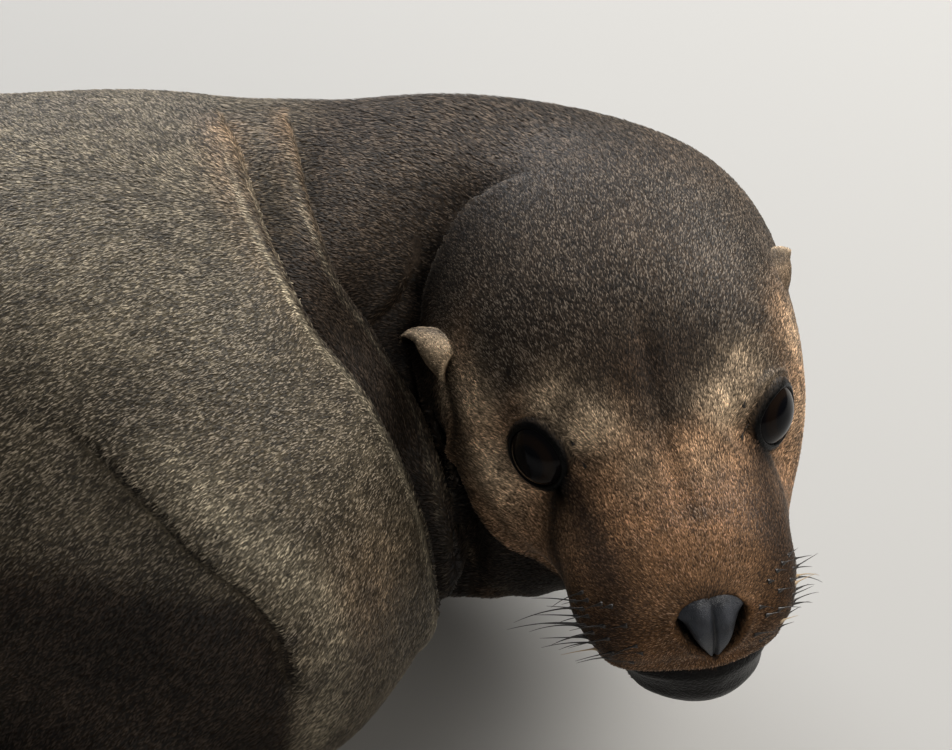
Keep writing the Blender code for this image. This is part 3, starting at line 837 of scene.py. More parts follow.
MARKS = [  # small dark scars and spots: place from the body's middle, half sizes, depth of colour
    ((-160, 45, 238), (4, 9, 20), 0.75), ((-176, 70, 240), (10, 7, 20), 0.55),
    ((-148, -150, 190), (6, 6, 6), 0.7), ((-101, -88, 214), (5, 5, 5), 0.6),
    ((-160, -25, 240), (6, 5, 9), 0.5), ((-122, -28, 238), (5, 5, 9), 0.45),
    ((-45, -141, 140), (4, 5, 5), 0.8), ((-22, -112, 140), (4, 5, 5), 0.7),
]
PALE_SPOTS = [  # place on the left side of the head, half sizes, paleness on the left and on the right
    ((13, 27, 16), (14, 12, 11), 0.85, 0.85),  # over the eye
    ((-2, 38, 21), (14, 12, 10), 0.55, 0.55),
    ((-58, 72, 4), (9, 12, 16), 0.3, 0.9),  # from the ear down the cheek
    ((-38, 66, 6), (22, 14, 15), 0.5, 0.9),
    ((-22, 62, -16), (25, 16, 20), 0.35, 0.85),
    ((34, 14, 8), (16, 10, 8), 0.25, 0.25),  # beside the bridge of the nose
]
WARM_SPOT = ((-24, -112, 138), (22, 30, 30), 0.35)


def spotted(places, spots):
    """The strongest at each place of some soft oval spots."""
    return np.max([much * bump(away_from(places, middle, size), 1) for middle, size, much in spots], axis=0)


def lay_out(mesh):
    """Writes the hide's markings, painted shade and highlights among them, and the lie, length and thickness
    of its hair, for the coat to read.
    """
    points, normals = mesh_points(mesh), surface_normals(mesh)
    places, head = to_body(points), to_head(points)
    x, y, z = head.T
    along, aside, high = places.T

    def from_path(path, count, way):
        gap, run, _, across = across_path(places, normals, path_points(path, count), way)
        return gap, run, across

    collar_gap, collar_run, behind_collar = from_path(COLLAR, 120, COLLAR_WAY)
    roll_gap, roll_run, behind_roll = from_path(NECK_ROLL, 120, ROLL_WAY)
    arm_gap, arm_run, above_arm = from_path(SHOULDER, 60, SHOULDER_WAY)
    throat_gap, throat_run, over_throat = from_path(THROAT, 60, ROLL_WAY)
    back_gap, back_run, over_back = from_path(HEAD_BACK, 80, HEAD_WAY)
    past_collar, past_roll = -behind_collar, -behind_roll

    # The head, told from the body by its size and by which way the skin faces.
    ear = np.arange(len(points)) >= first_ear_point
    skull = away_from(head / np.array([118, 84, 84]), (-0.12, 0, -0.15))
    facing = np.einsum("ij,ij->i", normals @ TURN, unit(head + 1e-6))
    on_head = ease(1.30, 1.0, skull) * ease(-0.15, 0.2, facing)
    on_head[ear] = 1

    # Dark: the neck's own dark fur, with painted shade on it in the band between its folds; the crown; and
    # painted shade behind the arm.
    in_front = ease(-170, -110, along)
    neck = ease(0, 2, past_collar) * in_front * ease(0.16, 0.42, collar_run)
    early = ease(0.4, 0.1, roll_run)
    neck = np.maximum(neck, ease(-6 - 14 * early, 3 + 16 * early, past_roll) * in_front)
    far_side = ease(10, 60, aside) * ease(-118, -62, along + 0.12 * (236 - high))
    neck = np.maximum(neck * ease(110, 60, aside), far_side) * ease(70, 125, high)
    # Painted shade behind the arm, laid as dark fur.
    arm_shade = ease(-3, 8 + 38 * ease(0.75, 0.35, arm_run), -above_arm) * ease(190, 150, high)
    arm_shade = arm_shade * ease(-330, -170, along) * (aside < 0)
    dark = np.maximum(np.maximum(neck, on_head), arm_shade)

    # Tan below the brow, rust on the snout, pale round the eyes and on the right ear and cheek.
    brow_line = 13 + 14 * bump(y, 26) - 0.30 * np.clip(x + 20, -100, 30)
    tan = on_head * ease(10, -14, z - np.minimum(brow_line, 40) + 6 * np.sin(y / 7 + x / 11))
    tan *= ease(-90, -20, x)
    # The throat behind the cheek's edge loses its tan and pale, and gets painted shade for the shade under
    # that edge.
    cheek_line = np.interp(z, (-76, -66, -50, -22, 0, 20), (-7, -17, -32, -52, -75, -110))
    throat = ease(4, -6, x - cheek_line) * on_head * ease(-2, -12, z)
    tan *= 1 - throat
    left = [(spot, size, much) for spot, size, much, _ in PALE_SPOTS]
    right = [((ahead, -out, up), size, much) for (ahead, out, up), size, _, much in PALE_SPOTS]
    pale = spotted(head, left + right) * (1 - throat)
    pale[ear] = np.where(y[ear] < 0, 0.95, 0.15 + 0.5 * ease(-84, -96, x[ear]))
    rust = np.maximum(on_head * ease(48, 72, x) * ease(-10, -30, z) * 0.8, 0.6 * on_head * ease(26, 50, x))

    # Bare on flippers and lips. The bed of the nose, the lids and the lips' edge are wet as well.
    lips = ease(0.5, -1.5, z - lip_level(x)) * ease(30, 56, x) * (np.abs(y) < 50)
    wet = ease(0.8, -1.0, np.abs(y - NOSE_MIDDLE) - wing_line(z)) * ease(-49, -46, z) * ease(-20, -22, z)
    wet = wet * (x > NOSE_BACK)
    around = away_from(head, (80, NOSE_MIDDLE, -30), (16, 15, 17))
    sooty = 0.75 * bump(np.maximum(around - 0.6, 0), 0.35) * on_head
    for side in (-1, 1):
        reach, forward, _ = eye_angles(head, side)
        share = lid_share(head, side)
        wet = np.maximum(wet, ease(1.20, 1.06, share) * (reach < 26) * (np.abs(forward) < 90))
        sooty = np.maximum(sooty, 0.8 * bump(share - 1.15, 0.16) * on_head)
    sooty = np.maximum(sooty, 0.68 * bump(away_from(head, (-6, 0, 27), (24, 27, 16)), 0.9) * on_head)
    wet = np.maximum(wet, 0.7 * lips * ease(36, 60, x))
    bare = np.maximum(ease(0.25, 0.75, flipper_share(points)) * 0.9, lips * ease(20, 60, x))
    bare = np.maximum(bare, wet)

    # Painted shade in the folds' valleys, behind the arm, under the cheek's edge and on the neck; painted
    # highlights along the crests, the throat's line, the arm's ridge, the top of the back and the head's back
    # edge; warm where a fold runs out.
    valley = ease(-0.5, 2.0, past_collar) * bump(np.maximum(past_collar, 0), 19)
    valley *= ease(0.10, 0.42, collar_run)
    roll_valley = ease(-0.5, 2.0, past_roll) * bump(np.maximum(past_roll, 0), 16) * ease(0.15, 0.5, roll_run)
    shade = np.maximum(valley * (collar_gap < 40), roll_valley * (roll_gap < 40)) * (along > -130)
    shade = np.maximum(shade, 0.62 * arm_shade * (1 - ease(150, 190, high)))
    shade = np.maximum(shade, 0.82 * throat)
    shade = np.maximum(shade, 0.58 * neck * (1 - on_head) * ease(-40, 10, -aside))
    # Painted highlights: the lit crests of the collar and the roll, the top of the back, the throat's line
    # and the arm's ridge.
    painted_highlights = [
        0.9 * bump(past_collar + 1.2, 1.4) * (collar_gap < 12) * ease(0.08, 0.3, collar_run),
        0.24 * ease(205, 240, high) * ease(0, -30, past_collar) * (1 - neck),
        0.3 * bump(over_throat, 1.3) * (throat_gap < 6) * ease(0, 0.3, throat_run),
        np.interp(roll_run, (0.3, 0.5, 0.7), (0.8, 0.6, 0.4)) * bump(past_roll + 1.0, 0.9)
        * (roll_gap < 12) * ease(0.08, 0.2, roll_run),
        0.6 * bump(above_arm - 15, 11) * (arm_gap < 40) * ease(0.05, 0.5, arm_run),
    ]
    # A painted highlight along the crest of the head's back edge, carried in the warm colour.
    back_highlight = bump(over_back - 1.6, 1.6) * (back_gap < 10) * ease(0.2, 0.6, back_run)
    back_highlight *= ease(0.6, 0.95, facing)
    warm_and_highlight = bump(collar_gap - 2, 9) * ease(0.55, 0.1, collar_run) * ease(0.0, 0.08, collar_run)
    warm_and_highlight = np.maximum(warm_and_highlight, bump(roll_gap + 2, 9) * (past_roll < 1) * ease(0.45, 0.12, roll_run)) * 0.55
    warm_and_highlight = np.maximum(np.maximum(warm_and_highlight, spotted(places, [WARM_SPOT])), 0.5 * back_highlight)

    # The hair: short and close on the face, longer and thinner out of sight, none on bare or wet skin.
    face = ease(-30, 20, x) * on_head
    seen = ease(-380, -260, along) * ease(130, 40, aside)
    length = 4.0 - 1.5 * seen - 0.35 * on_head - 0.35 * face - 1.0 * flipper_share(points)
    head_length = np.where(ear, 1.3, length) * np.where(x > 60, 0.85, 1.0)
    length = head_length * (on_head > 0) + length * (on_head <= 0)
    thick = 0.42 + 0.68 * seen + 0.20 * on_head + 0.35 * face
    thick *= (1 - ease(0.3, 0.8, flipper_share(points))) * (1 - wet) * (1 - lips * ease(30, 56, x))
    thick *= ease(0.0008, 0.004, points[:, 2])
    inner_ear = ear & (((np.arange(len(points)) - first_ear_point) // EAR_COLUMNS) % 2 == 1)
    thick = np.where(inner_ear, 0, thick)
    # Inside the ears the skin is painted dark, as the shade in the hollow, and not pale.
    dark = np.where(inner_ear, 1, dark)
    pale = np.where(inner_ear, 0, pale)
    sheets = {
        "silver": 1 - 0.75 * np.clip(neck * (1 - on_head), 0, 1), "dark": dark, "tan": tan, "pale": pale,
        "bare": bare, "wet": wet, "warm_and_highlight": warm_and_highlight, "mark": spotted(places, MARKS), "shade": shade,
        "painted_highlight": np.max(painted_highlights, axis=0), "rust": rust, "sooty": sooty, "hair_length": length,
        "hair_thickness": thick,
    }
    for name, values in sheets.items():
        mesh.attributes.new(name, "FLOAT", "POINT").data.foreach_set("value", values.astype(np.float32))
    lie = lie_of_hair(points, normals).astype(np.float32)
    mesh.attributes.new("lie", "FLOAT_VECTOR", "POINT").data.foreach_set("vector", lie.ravel())
    return head, places, thick


hide_head, hide_places, hair_thickness = lay_out(hide_mesh)

SAG_DEPTH, SAG_MIDDLE = 24, (6, -58, 98)


def sag(mesh):
    """Lets the loose skin of the throat hang down between the cheek and the chest."""
    places = to_body(mesh_points(mesh))
    each = np.ones(len(places))
    size = np.stack([np.where(places[:, 0] > SAG_MIDDLE[0], 32.0, 25.0), 36.0 * each, 30.0 * each], 1)
    places[:, 2] -= SAG_DEPTH * bump(away_from(places, SAG_MIDDLE, size), 1.0)
    set_points(mesh, from_body(places))


sag(hide_mesh)

# ---- The pelt's colours ----------------------------------------------------------------------------------
# Hide and hair share one set of markings: broad patches laid out above, mottled by noise, with a few dark
# scars and spots. The hide's grain and the leather's fine wrinkles are in its bump.
PELT = {
    "trunk": (0.136, 0.112, 0.076),
    # dark fur, and the colour of the painted shade behind the arm, between the neck's folds and inside the
    # ears
    "dark": (0.060, 0.042, 0.028),
    "tan": (0.385, 0.220, 0.116),
    "rust": (0.150, 0.070, 0.026),
    "sooty": (0.020, 0.012, 0.008),
    # the colour of the painted highlights on the crests
    "painted_highlight": (0.36, 0.31, 0.22),
    "pale": (0.86, 0.65, 0.43),
    # warm tan where folds run out, and the painted highlight on the head's back edge
    "warm_and_highlight": (0.40, 0.26, 0.15),
    "bare": (0.010, 0.008, 0.007),
    "wet": (0.002, 0.002, 0.002),
}


def maths(tree, way, one, other):
    return node(tree, "ShaderNodeMath", {"operation": way}, i0=one, i1=other).outputs[0]


def mixed(tree, factor, one, other, way="MIX"):
    """Blends two colours; i0, i6 and i7 are the factor and the colours of Blender's mix node."""
    return node(tree, "ShaderNodeMix", {"data_type": "RGBA", "blend_type": way},
                i0=factor, i6=one, i7=other).outputs[2]


def ramp(tree, factor, low, high, at=(0.0, 1.0)):
    made = node(tree, "ShaderNodeMapRange", None, Value=factor)
    for name, value in (("From Min", at[0]), ("From Max", at[1]), ("To Min", low), ("To Max", high)):
        made.inputs[name].default_value = value
    return made.outputs["Result"]


def grey(tree, value):
    return node(tree, "ShaderNodeCombineColor", None, Red=value, Green=value, Blue=value).outputs["Color"]


def toned(tree, colour, pattern, low, high, at=(0.3, 0.7)):
    """A colour made darker and paler by a pattern."""
    return mixed(tree, 1.0, colour, grey(tree, ramp(tree, pattern, low, high, at)), "MULTIPLY")


def own_place(tree):
    return node(tree, "ShaderNodeTexCoord").outputs["Object"]


def noise(tree, where, scale, detail=2.0):
    return node(tree, "ShaderNodeTexNoise", None, Vector=where, Scale=scale, Detail=detail).outputs["Fac"]


def cracks(tree, where, scale):
    return node(tree, "ShaderNodeTexVoronoi", {"feature": "DISTANCE_TO_EDGE"}, Vector=where,
                Scale=scale).outputs["Distance"]


def relief(tree, height, strength, depth):
    feed(tree, "Normal", node(tree, "ShaderNodeBump", None, Height=height, Strength=strength,
                              Distance=depth).outputs["Normal"])


def pelt_group():
    tree = bpy.data.node_groups.new("sea lion pelt", "ShaderNodeTree")
    tree.interface.new_socket("Colour", in_out="OUTPUT", socket_type="NodeSocketColor")
    tree.interface.new_socket("Bare", in_out="OUTPUT", socket_type="NodeSocketFloat")
    where = own_place(tree)
    broad, small = noise(tree, where, 22.0, 4.0), noise(tree, where, 130.0, 3.0)
    ragged = ramp(tree, small, -0.22, 0.22, (0.3, 0.7))
    colour = (*PELT["trunk"], 1)
    # The crests' painted highlights, and the warm colour with its painted highlight on the head's back edge,
    # mix in here with the rest.
    for name in ("dark", "tan", "rust", "warm_and_highlight", "painted_highlight", "pale", "sooty", "bare", "wet"):
        share = sheet(tree, name)
        if name not in ("bare", "wet"):
            share = maths(tree, "MULTIPLY", share, ramp(tree, maths(tree, "ADD", share, ragged), 0.75, 1.1))
        colour = mixed(tree, share, colour, (*PELT[name], 1))
    colour = toned(tree, colour, broad, 0.66, 1.34)
    colour = toned(tree, colour, small, 0.68, 1.32)
    spot = node(tree, "ShaderNodeTexVoronoi", None, Vector=where, Scale=24.0)
    chance = node(tree, "ShaderNodeSeparateColor", None, Color=spot.outputs["Color"]).outputs["Red"]
    edge = maths(tree, "SUBTRACT", ramp(tree, chance, 0.0, 0.16, (0.72, 1.0)), spot.outputs["Distance"])
    colour = mixed(tree, ramp(tree, edge, 0.0, 0.5, (-0.02, 0.06)), colour, (0.03, 0.025, 0.02, 1))
    colour = mixed(tree, sheet(tree, "mark"), colour, (0.04, 0.033, 0.027, 1))
    # Painted shade: the folds' valleys, behind the arm, under the cheek's edge and on the neck.
    colour = mixed(tree, ramp(tree, sheet(tree, "shade"), 0, 0.92), colour, (0.006, 0.004, 0.003, 1))
    node(tree, "NodeGroupOutput", None, Colour=colour, Bare=sheet(tree, "bare"))
    return tree


pelt = pelt_group()


def hide_material():
    material = plain_material("hide", (0.2, 0.17, 0.14), 0.6, Specular_IOR_Level=0.10)
    tree = material.node_tree
    colours = node(tree, "ShaderNodeGroup", {"node_tree": pelt}).outputs
    where = own_place(tree)
    grain = noise(tree, where, 900.0)
    feed(tree, "Base Color", toned(tree, colours["Colour"], grain, 0.35, 0.95))
    dry = grey(tree, ramp(tree, colours["Bare"], 0.75, 0.50))
    feed(tree, "Roughness", mixed(tree, sheet(tree, "wet"), dry, (0.32, 0.32, 0.32, 1)))
    wrinkle = ramp(tree, cracks(tree, where, 420.0), 0, 1, (0, 0.2))
    wrinkle = maths(tree, "MULTIPLY", wrinkle, ramp(tree, sheet(tree, "wet"), 1, 0.15))
    relief(tree, maths(tree, "ADD", maths(tree, "MULTIPLY", wrinkle, colours["Bare"]), grain), 0.35, 0.0006)
    return material


hide_mesh.materials.clear()
hide_mesh.materials.append(hide_material())
hide_mesh.shade_smooth()
hide = bpy.data.objects["hide"]
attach(hide, "root")
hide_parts(*[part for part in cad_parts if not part.startswith(("eye", "nose"))])

# ---- The nose leather ------------------------------------------------------------------------------------
# A bare slate-black pad, two soft lobes with a groove between them that runs down to the lip. It lies in its
# bed in the muzzle, and the nostrils are the curved slits left open along its sides. Shade is painted darker
# along the slits, down the groove and along its top edge.
PAD_THICK = 7.0
SLIT_HEIGHTS = (-47, -44, -40, -35, -30, -26.5, -24.0, -19)
SLIT_WIDTHS = (0.3, 0.6, 1.1, 1.9, 2.7, 1.9, -0.3, -0.8)  # of the nostril, and none at all near the top


def pad_line(z):
    """Half the width of the leather at a height: inside the bed by the width of the nostril."""
    slit = np.interp(z, SLIT_HEIGHTS, SLIT_WIDTHS)
    return wing_line(z) - slit


def on_line(value, line):
    """Where a value falls on a line of even steps: the step before it, and the part of a step beyond."""
    at = (value - line[0]) / (line[-1] - line[0]) * (len(line) - 1)
    step = int(np.clip(at, 0, len(line) - 2))
    return step, at - step


def nose_leather():
    rows, columns = 64, 65
    across = np.sin(np.linspace(-1, 1, columns) * math.pi / 2)
    points, painted_edge_shade = [], []
    for height in np.linspace(NOSE_FOOT + 0.5, NOSE_TOP + 1.0, rows):
        steep = ease(-24, -28, height)
        ends = min(1.0, (height - NOSE_FOOT) / 2.5, (NOSE_TOP + 1.6 - height) / 3.0)
        for share in across:
            side = share * pad_line(height)
            k, up = on_line(height, nose_z[:, 0])
            j, over = on_line(side + NOSE_MIDDLE, nose_y[0])
            reach = ((1 - up) * (1 - over) * nose_x[k, j] + (1 - up) * over * nose_x[k, j + 1]
                     + up * (1 - over) * nose_x[k + 1, j] + up * over * nose_x[k + 1, j + 1])
            edge = 1 - abs(share)
            lobes = 1.9 * bump(abs(side) - 4.6, 3.4) * ease(-44, -29, height)
            groove = (0.9 + 0.9 * ease(-30, -42, height)) * bump(side, 0.9) * ease(-20, -24, height)
            round_edge = -PAD_THICK * (1 - math.sqrt(max(0.0, 1 - (1 - min(edge / 0.38, 1)) ** 2.2)))
            round_edge = round_edge * (0.12 + 0.88 * steep)
            reach += 0.5 + lobes - groove + round_edge - 1.8 * (1 - max(0.0, ends)) ** 2
            points.append((reach, side + NOSE_MIDDLE, height))
            # Painted shade: darker by the nostrils' slits, down the groove and along the top edge.
            shade_by_nostril = ease(0.42, 0.02, edge) * (0.35 + 0.65 * steep)
            painted_edge_shade.append(float(max(shade_by_nostril, 0.8 * bump(side, 0.8) * ease(-22, -27, height),
                                  0.7 * ease(NOSE_TOP - 2.5, NOSE_TOP + 1, height))))
    count = len(points)
    points += [(NOSE_BACK, y * 0.8, z) for _, y, z in points]
    faces = []
    for i in range(rows - 1):
        for j in range(columns - 1):
            a = i * columns + j
            faces.append((a, a + 1, a + columns + 1, a + columns))
            faces.append((count + a, count + a + columns, count + a + columns + 1, count + a + 1))
    border = [(0, j) for j in range(columns)] + [(i, columns - 1) for i in range(1, rows)]
    border += [(rows - 1, j) for j in range(columns - 2, -1, -1)] + [(i, 0) for i in range(rows - 2, 0, -1)]
    loop = [i * columns + j for i, j in border]
    faces += [(a, count + a, count + b, b) for a, b in zip(loop, loop[1:] + loop[:1])]
    build = bmesh.new()
    corners = [build.verts.new(place) for place in from_head(points)]
    for face in faces:
        build.faces.new([corners[index] for index in face])
    mesh = mesh_of("nose_leather", build)
    mesh.attributes.new("rim", "FLOAT", "POINT").data.foreach_set("value", painted_edge_shade + painted_edge_shade)
    return mesh


def leather_material():
    material = plain_material("nose leather", (0.05, 0.052, 0.06), 0.34, Specular_IOR_Level=0.40)
    tree = material.node_tree
    where = own_place(tree)
    cloud = noise(tree, where, 160.0, 3.0)
    colour = mixed(tree, ramp(tree, cloud, 0, 1, (0.35, 0.65)), (0.014, 0.016, 0.021, 1),
                   (0.034, 0.038, 0.048, 1))
    # The rim sheet is painted shade at the pad's edges, in its groove and along its top.
    feed(tree, "Base Color", mixed(tree, sheet(tree, "rim"), colour, (0.003, 0.003, 0.004, 1)))
    feed(tree, "Roughness", ramp(tree, cloud, 0.34, 0.52, (0.3, 0.7)))
    relief(tree, ramp(tree, cracks(tree, where, 1500.0), 0, 1, (0, 0.25)), 0.5, 0.0003)
    return material


nose = smooth_piece("nose_leather", nose_leather(), leather_material())
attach(nose, "root")
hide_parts("nose_pad")

# ---- The coat --------------------------------------------------------------------------------------------
# Short stiff hair laid flat from the snout to the tail, a few millimetres long, shortest on the face. Each
# tuft is a thin pointed leaf, dark at the root and pale at the tip, and overlaps the next like thatch.
TUFTS = 720000
COAT_NAMES = ["coat_face", "coat_crown", "coat_neck", "coat_shoulder", "coat_chest", "coat_flank",
              "coat_loins", "coat_rump"]  # two triangles to a tuft, so about 180,000 in each
COAT_SEED, LENGTH_SEED, LUCK_SEED = 11, 7, 23
HAIR = {"Shortest": 0.72, "Longest": 1.28, "Stray": 0.24, "Patch": 0.003}


def tuft_object():
    mesh = bpy.data.meshes.new("tuft")
    mesh.from_pydata([(0, 0, -0.05), (-0.095, 0.45, 0.13), (0.095, 0.45, 0.13), (0, 1, 0.15)], [],
                     [(0, 2, 1), (1, 2, 3)])
    own = mesh.uv_layers.new(name="own")
    spots = [(0.5, 0.0), (0.0, 0.42), (1.0, 0.42), (0.5, 1.0)]
    for loop in mesh.loops:
        own.data[loop.index].uv = spots[loop.vertex_index]
    mesh.attributes.new("tip", "FLOAT", "POINT").data.foreach_set("value", [0.0, 0.5, 0.5, 1.0])
    mesh.shade_smooth()
    return new_object("tuft", mesh)


def coat_tree():
    tree = bpy.data.node_groups.new("laid coat", "GeometryNodeTree")
    for name, kind in (("Hide", "Geometry"), ("Tuft", "Object"), ("Per Square Metre", "Float"),
                       ("Piece", "Int"), ("Seed", "Int"), ("Shortest", "Float"), ("Longest", "Float"),
                       ("Stray", "Float"), ("Patch", "Float"), ("Finish", "Material")):
        tree.interface.new_socket(name, in_out="INPUT", socket_type="NodeSocket" + kind)
    tree.interface.new_socket("Coat", in_out="OUTPUT", socket_type="NodeSocketGeometry")
    given = node(tree, "NodeGroupInput").outputs

    def read(name, kind="FLOAT"):
        return node(tree, "GeometryNodeInputNamedAttribute", {"data_type": kind}, Name=name).outputs[0]

    def vectors(way, one, **other):
        return node(tree, "ShaderNodeVectorMath", {"operation": way}, i0=one, **other).outputs[0]


    mine = node(tree, "FunctionNodeCompare", {"data_type": "INT", "operation": "EQUAL"},
                A=read("piece", "INT"))
    compare = [socket for socket in mine.inputs if socket.name == "B" and socket.type == "INT"][0]
    tree.links.new(given["Piece"], compare)
    strewn = node(tree, "GeometryNodeDistributePointsOnFaces", None, Mesh=given["Hide"],
                  Selection=mine.outputs[0], Seed=given["Seed"],
                  Density=maths(tree, "MULTIPLY", read("hair_thickness"), given["Per Square Metre"]))
    upright = node(tree, "FunctionNodeAlignRotationToVector", {"axis": "Z"}, Vector=strewn.outputs["Normal"])
    laid_down = node(tree, "FunctionNodeAlignRotationToVector", {"axis": "Y", "pivot_axis": "Z"},
                     Rotation=upright.outputs[0], Vector=read("lie", "FLOAT_VECTOR"))
    stray = vectors("SCALE", (0.35, 0.5, 1.0), Scale=given["Stray"])
    other_way = vectors("SCALE", stray, Scale=-1.0)
    random_turn = node(tree, "FunctionNodeRandomValue", {"data_type": "FLOAT_VECTOR"}, Seed=given["Seed"])
    tree.links.new(other_way, random_turn.inputs[0])
    tree.links.new(stray, random_turn.inputs[1])
    tipped = node(tree, "FunctionNodeEulerToRotation", None, i0=random_turn.outputs[0])
    turned = node(tree, "FunctionNodeRotateRotation", {"rotation_space": "LOCAL"}, i0=laid_down.outputs[0],
                  i1=tipped.outputs[0])
    stretch = node(tree, "FunctionNodeRandomValue", {"data_type": "FLOAT"})
    tree.links.new(given["Shortest"], stretch.inputs[2])
    tree.links.new(given["Longest"], stretch.inputs[3])
    stretch.inputs["Seed"].default_value = LENGTH_SEED
    size = maths(tree, "MULTIPLY", maths(tree, "MULTIPLY", read("hair_length"), stretch.outputs[1]), MM)
    shape = node(tree, "GeometryNodeObjectInfo", None, Object=given["Tuft"])
    placed = node(tree, "GeometryNodeInstanceOnPoints", None, Points=strewn.outputs["Points"],
                  Instance=shape.outputs["Geometry"], Rotation=turned.outputs[0], Scale=size)
    luck = node(tree, "FunctionNodeRandomValue", {"data_type": "FLOAT"})
    luck.inputs["Seed"].default_value = LUCK_SEED
    marked = node(tree, "GeometryNodeStoreNamedAttribute", {"data_type": "FLOAT", "domain": "INSTANCE"},
                  Geometry=placed.outputs[0], Name="hair", Value=luck.outputs[1])
    real = node(tree, "GeometryNodeRealizeInstances", None, Geometry=marked.outputs[0])
    off_middle = vectors("SUBTRACT", read("own", "FLOAT_VECTOR"), i1=(0.5, 0.5, 0.0))
    patch = vectors("SCALE", off_middle, Scale=given["Patch"])
    spot = vectors("ADD", read("unwrap", "FLOAT_VECTOR"), i1=patch)
    mapped = node(tree, "GeometryNodeStoreNamedAttribute", {"data_type": "FLOAT2", "domain": "CORNER"},
                  Geometry=real.outputs[0], Name="OFBake")
    value = [socket for socket in mapped.inputs if socket.name == "Value" and socket.enabled][0]
    tree.links.new(spot, value)
    cleaned = mapped.outputs[0]
    for name in ("unwrap", "own", "lie", "hair_length", "hair_thickness"):
        cleaned = node(tree, "GeometryNodeRemoveAttribute", None, Geometry=cleaned, Name=name).outputs[0]
    finished = node(tree, "GeometryNodeSetMaterial", None, Geometry=cleaned, Material=given["Finish"])
    out = node(tree, "NodeGroupOutput")
    tree.links.new(finished.outputs[0], out.inputs["Coat"])
    return tree


def coat_material():
    material = plain_material("coat", (0.2, 0.17, 0.14), 0.55, Specular_IOR_Level=0.22, Sheen_Weight=0.16,
                              Sheen_Roughness=0.35, Sheen_Tint=(1.0, 0.90, 0.76, 1))
    tree = material.node_tree
    colours = node(tree, "ShaderNodeGroup", {"node_tree": pelt}).outputs
    tip = sheet(tree, "tip")
    luck = maths(tree, "POWER", sheet(tree, "hair"), 2.0)
    tint = toned(tree, colours["Colour"], tip, 0.10, 1.45, (0.0, 1.0))
    tint = toned(tree, tint, luck, 0.22, 2.45, (0.0, 1.0))
    silver = ramp(tree, luck, 0.0, 0.95, (0.35, 1.0))
    not_bare, not_shaded, not_sooty = (ramp(tree, sheet(tree, name), 1, 0, (0, gone))
                                       for name, gone in (("bare", 0.3), ("shade", 0.35), ("sooty", 0.4)))
    for share in (tip, not_bare, sheet(tree, "silver"), not_shaded, not_sooty):
        silver = maths(tree, "MULTIPLY", silver, share)
    feed(tree, "Base Color", mixed(tree, silver, tint, (0.36, 0.30, 0.235, 1), "LIGHTEN"))
    return material


def share_out(mesh):
    """Gives each face its piece of the coat, from the snout to the tail, with about as many tufts in each."""
    triangles = read_out(mesh.polygons, "vertices", 3, int)
    points = mesh_points(mesh)
    a, b, c = (points[triangles[:, k]] for k in range(3))
    area = np.linalg.norm(np.cross(b - a, c - a), axis=1) / 2
    wanted = area * hair_thickness[triangles].mean(1)
    rate = TUFTS / wanted.sum()
    order = np.argsort(np.linalg.norm((a + b + c) / 3 - from_head([95, 0, -28]), axis=1))
    running = np.cumsum(wanted[order]) * rate
    pieces = len(COAT_NAMES)
    piece = np.empty(len(area), int)
    piece[order] = np.minimum(running / TUFTS * pieces, pieces - 1).astype(int)
    mesh.attributes.new("piece", "INT", "FACE").data.foreach_set("value", piece.astype(np.int32))
    return rate


def grow_coat():
    rate = share_out(hide_mesh)
    tree, tuft, finish = coat_tree(), tuft_object(), coat_material()
    tuft.data.materials.append(finish)
    sockets = {item.name: item.identifier for item in tree.interface.items_tree if item.in_out == "INPUT"}
    for number, coat_name in enumerate(COAT_NAMES):
        carrier = new_object(coat_name, hide_mesh)
        growth = carrier.modifiers.new("coat", "NODES")
        growth.node_group = tree
        given = {"Tuft": tuft, "Per Square Metre": rate, "Piece": number, "Seed": COAT_SEED + number,
                 "Finish": finish, **HAIR}
        for name, value in given.items():
            growth[sockets[name]] = value
        graph = bpy.context.evaluated_depsgraph_get()
        grown = bpy.data.meshes.new_from_object(carrier.evaluated_get(graph))
        carrier.modifiers.clear()
        carrier.data = grown
        carrier.data.name = coat_name
        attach(carrier, "root")
    bpy.data.objects.remove(tuft)


grow_coat()

# ---- The whiskers ----------------------------------------------------------------------------------------
# Stiff dark bristles in five rows on each side of the snout, each on a flared root, short on a young animal,
# shorter still on its left side, and bent down and back. A few are pale. Two fine ones stand over each eye.
ROWS = [  # height in the head's frame, first and last root along the snout, bristles, longest in mm
    (-22.0, 77, 64, 4, 13.0),
    (-28.0, 83, 60, 5, 20.0),
    (-34.0, 85, 57, 6, 27.0),
    (-40.0, 84, 57, 6, 28.0),
    (-46.0, 80, 58, 5, 20.0),
]
BRISTLE_SIDES, BRISTLE_STEPS = 6, 11
BRISTLE_RADIUS, ROOT_FLARE, BROW_RADIUS = 0.37, 0.85, 0.16
LEFT_SHARE, PALE_CHANCE = 0.6, 0.12
draw = np.random.default_rng(41)


def join_rings(build, rings):
    """Skins a run of rings and closes both its ends."""
    for low, high in zip(rings, rings[1:]):
        for k in range(len(low)):
            n = (k + 1) % len(low)
            build.faces.new((low[k], low[n], high[n], high[k]))
    build.faces.new(rings[0][::-1])
    build.faces.new(rings[-1])


def bristle(build, root, outward, droop, length, thick, shade, layer):
    """One tapered, curved bristle on a flared root, in the head's frame."""
    outward, droop = unit(np.array(outward, float)), np.array(droop, float)
    rings = []
    for k in range(BRISTLE_STEPS + 1):
        t = k / BRISTLE_STEPS
        middle = root + outward * length * t + droop * length * t * t
        ahead = unit(outward + 2 * droop * t)
        beside = unit(np.cross(ahead, [0.31, 0.2, 0.93]))
        above = np.cross(beside, ahead)
        radius = thick * (1 - 0.86 * t) + ROOT_FLARE * math.exp(-(t * length / 1.7) ** 2)
        spots = [middle + radius * (math.cos(a) * beside + math.sin(a) * above)
                 for a in np.linspace(0, 2 * math.pi, BRISTLE_SIDES, endpoint=False)]
        rings.append([build.verts.new(place) for place in from_head(spots)])
        for corner in rings[-1]:
            corner[layer] = shade
    join_rings(build, rings)


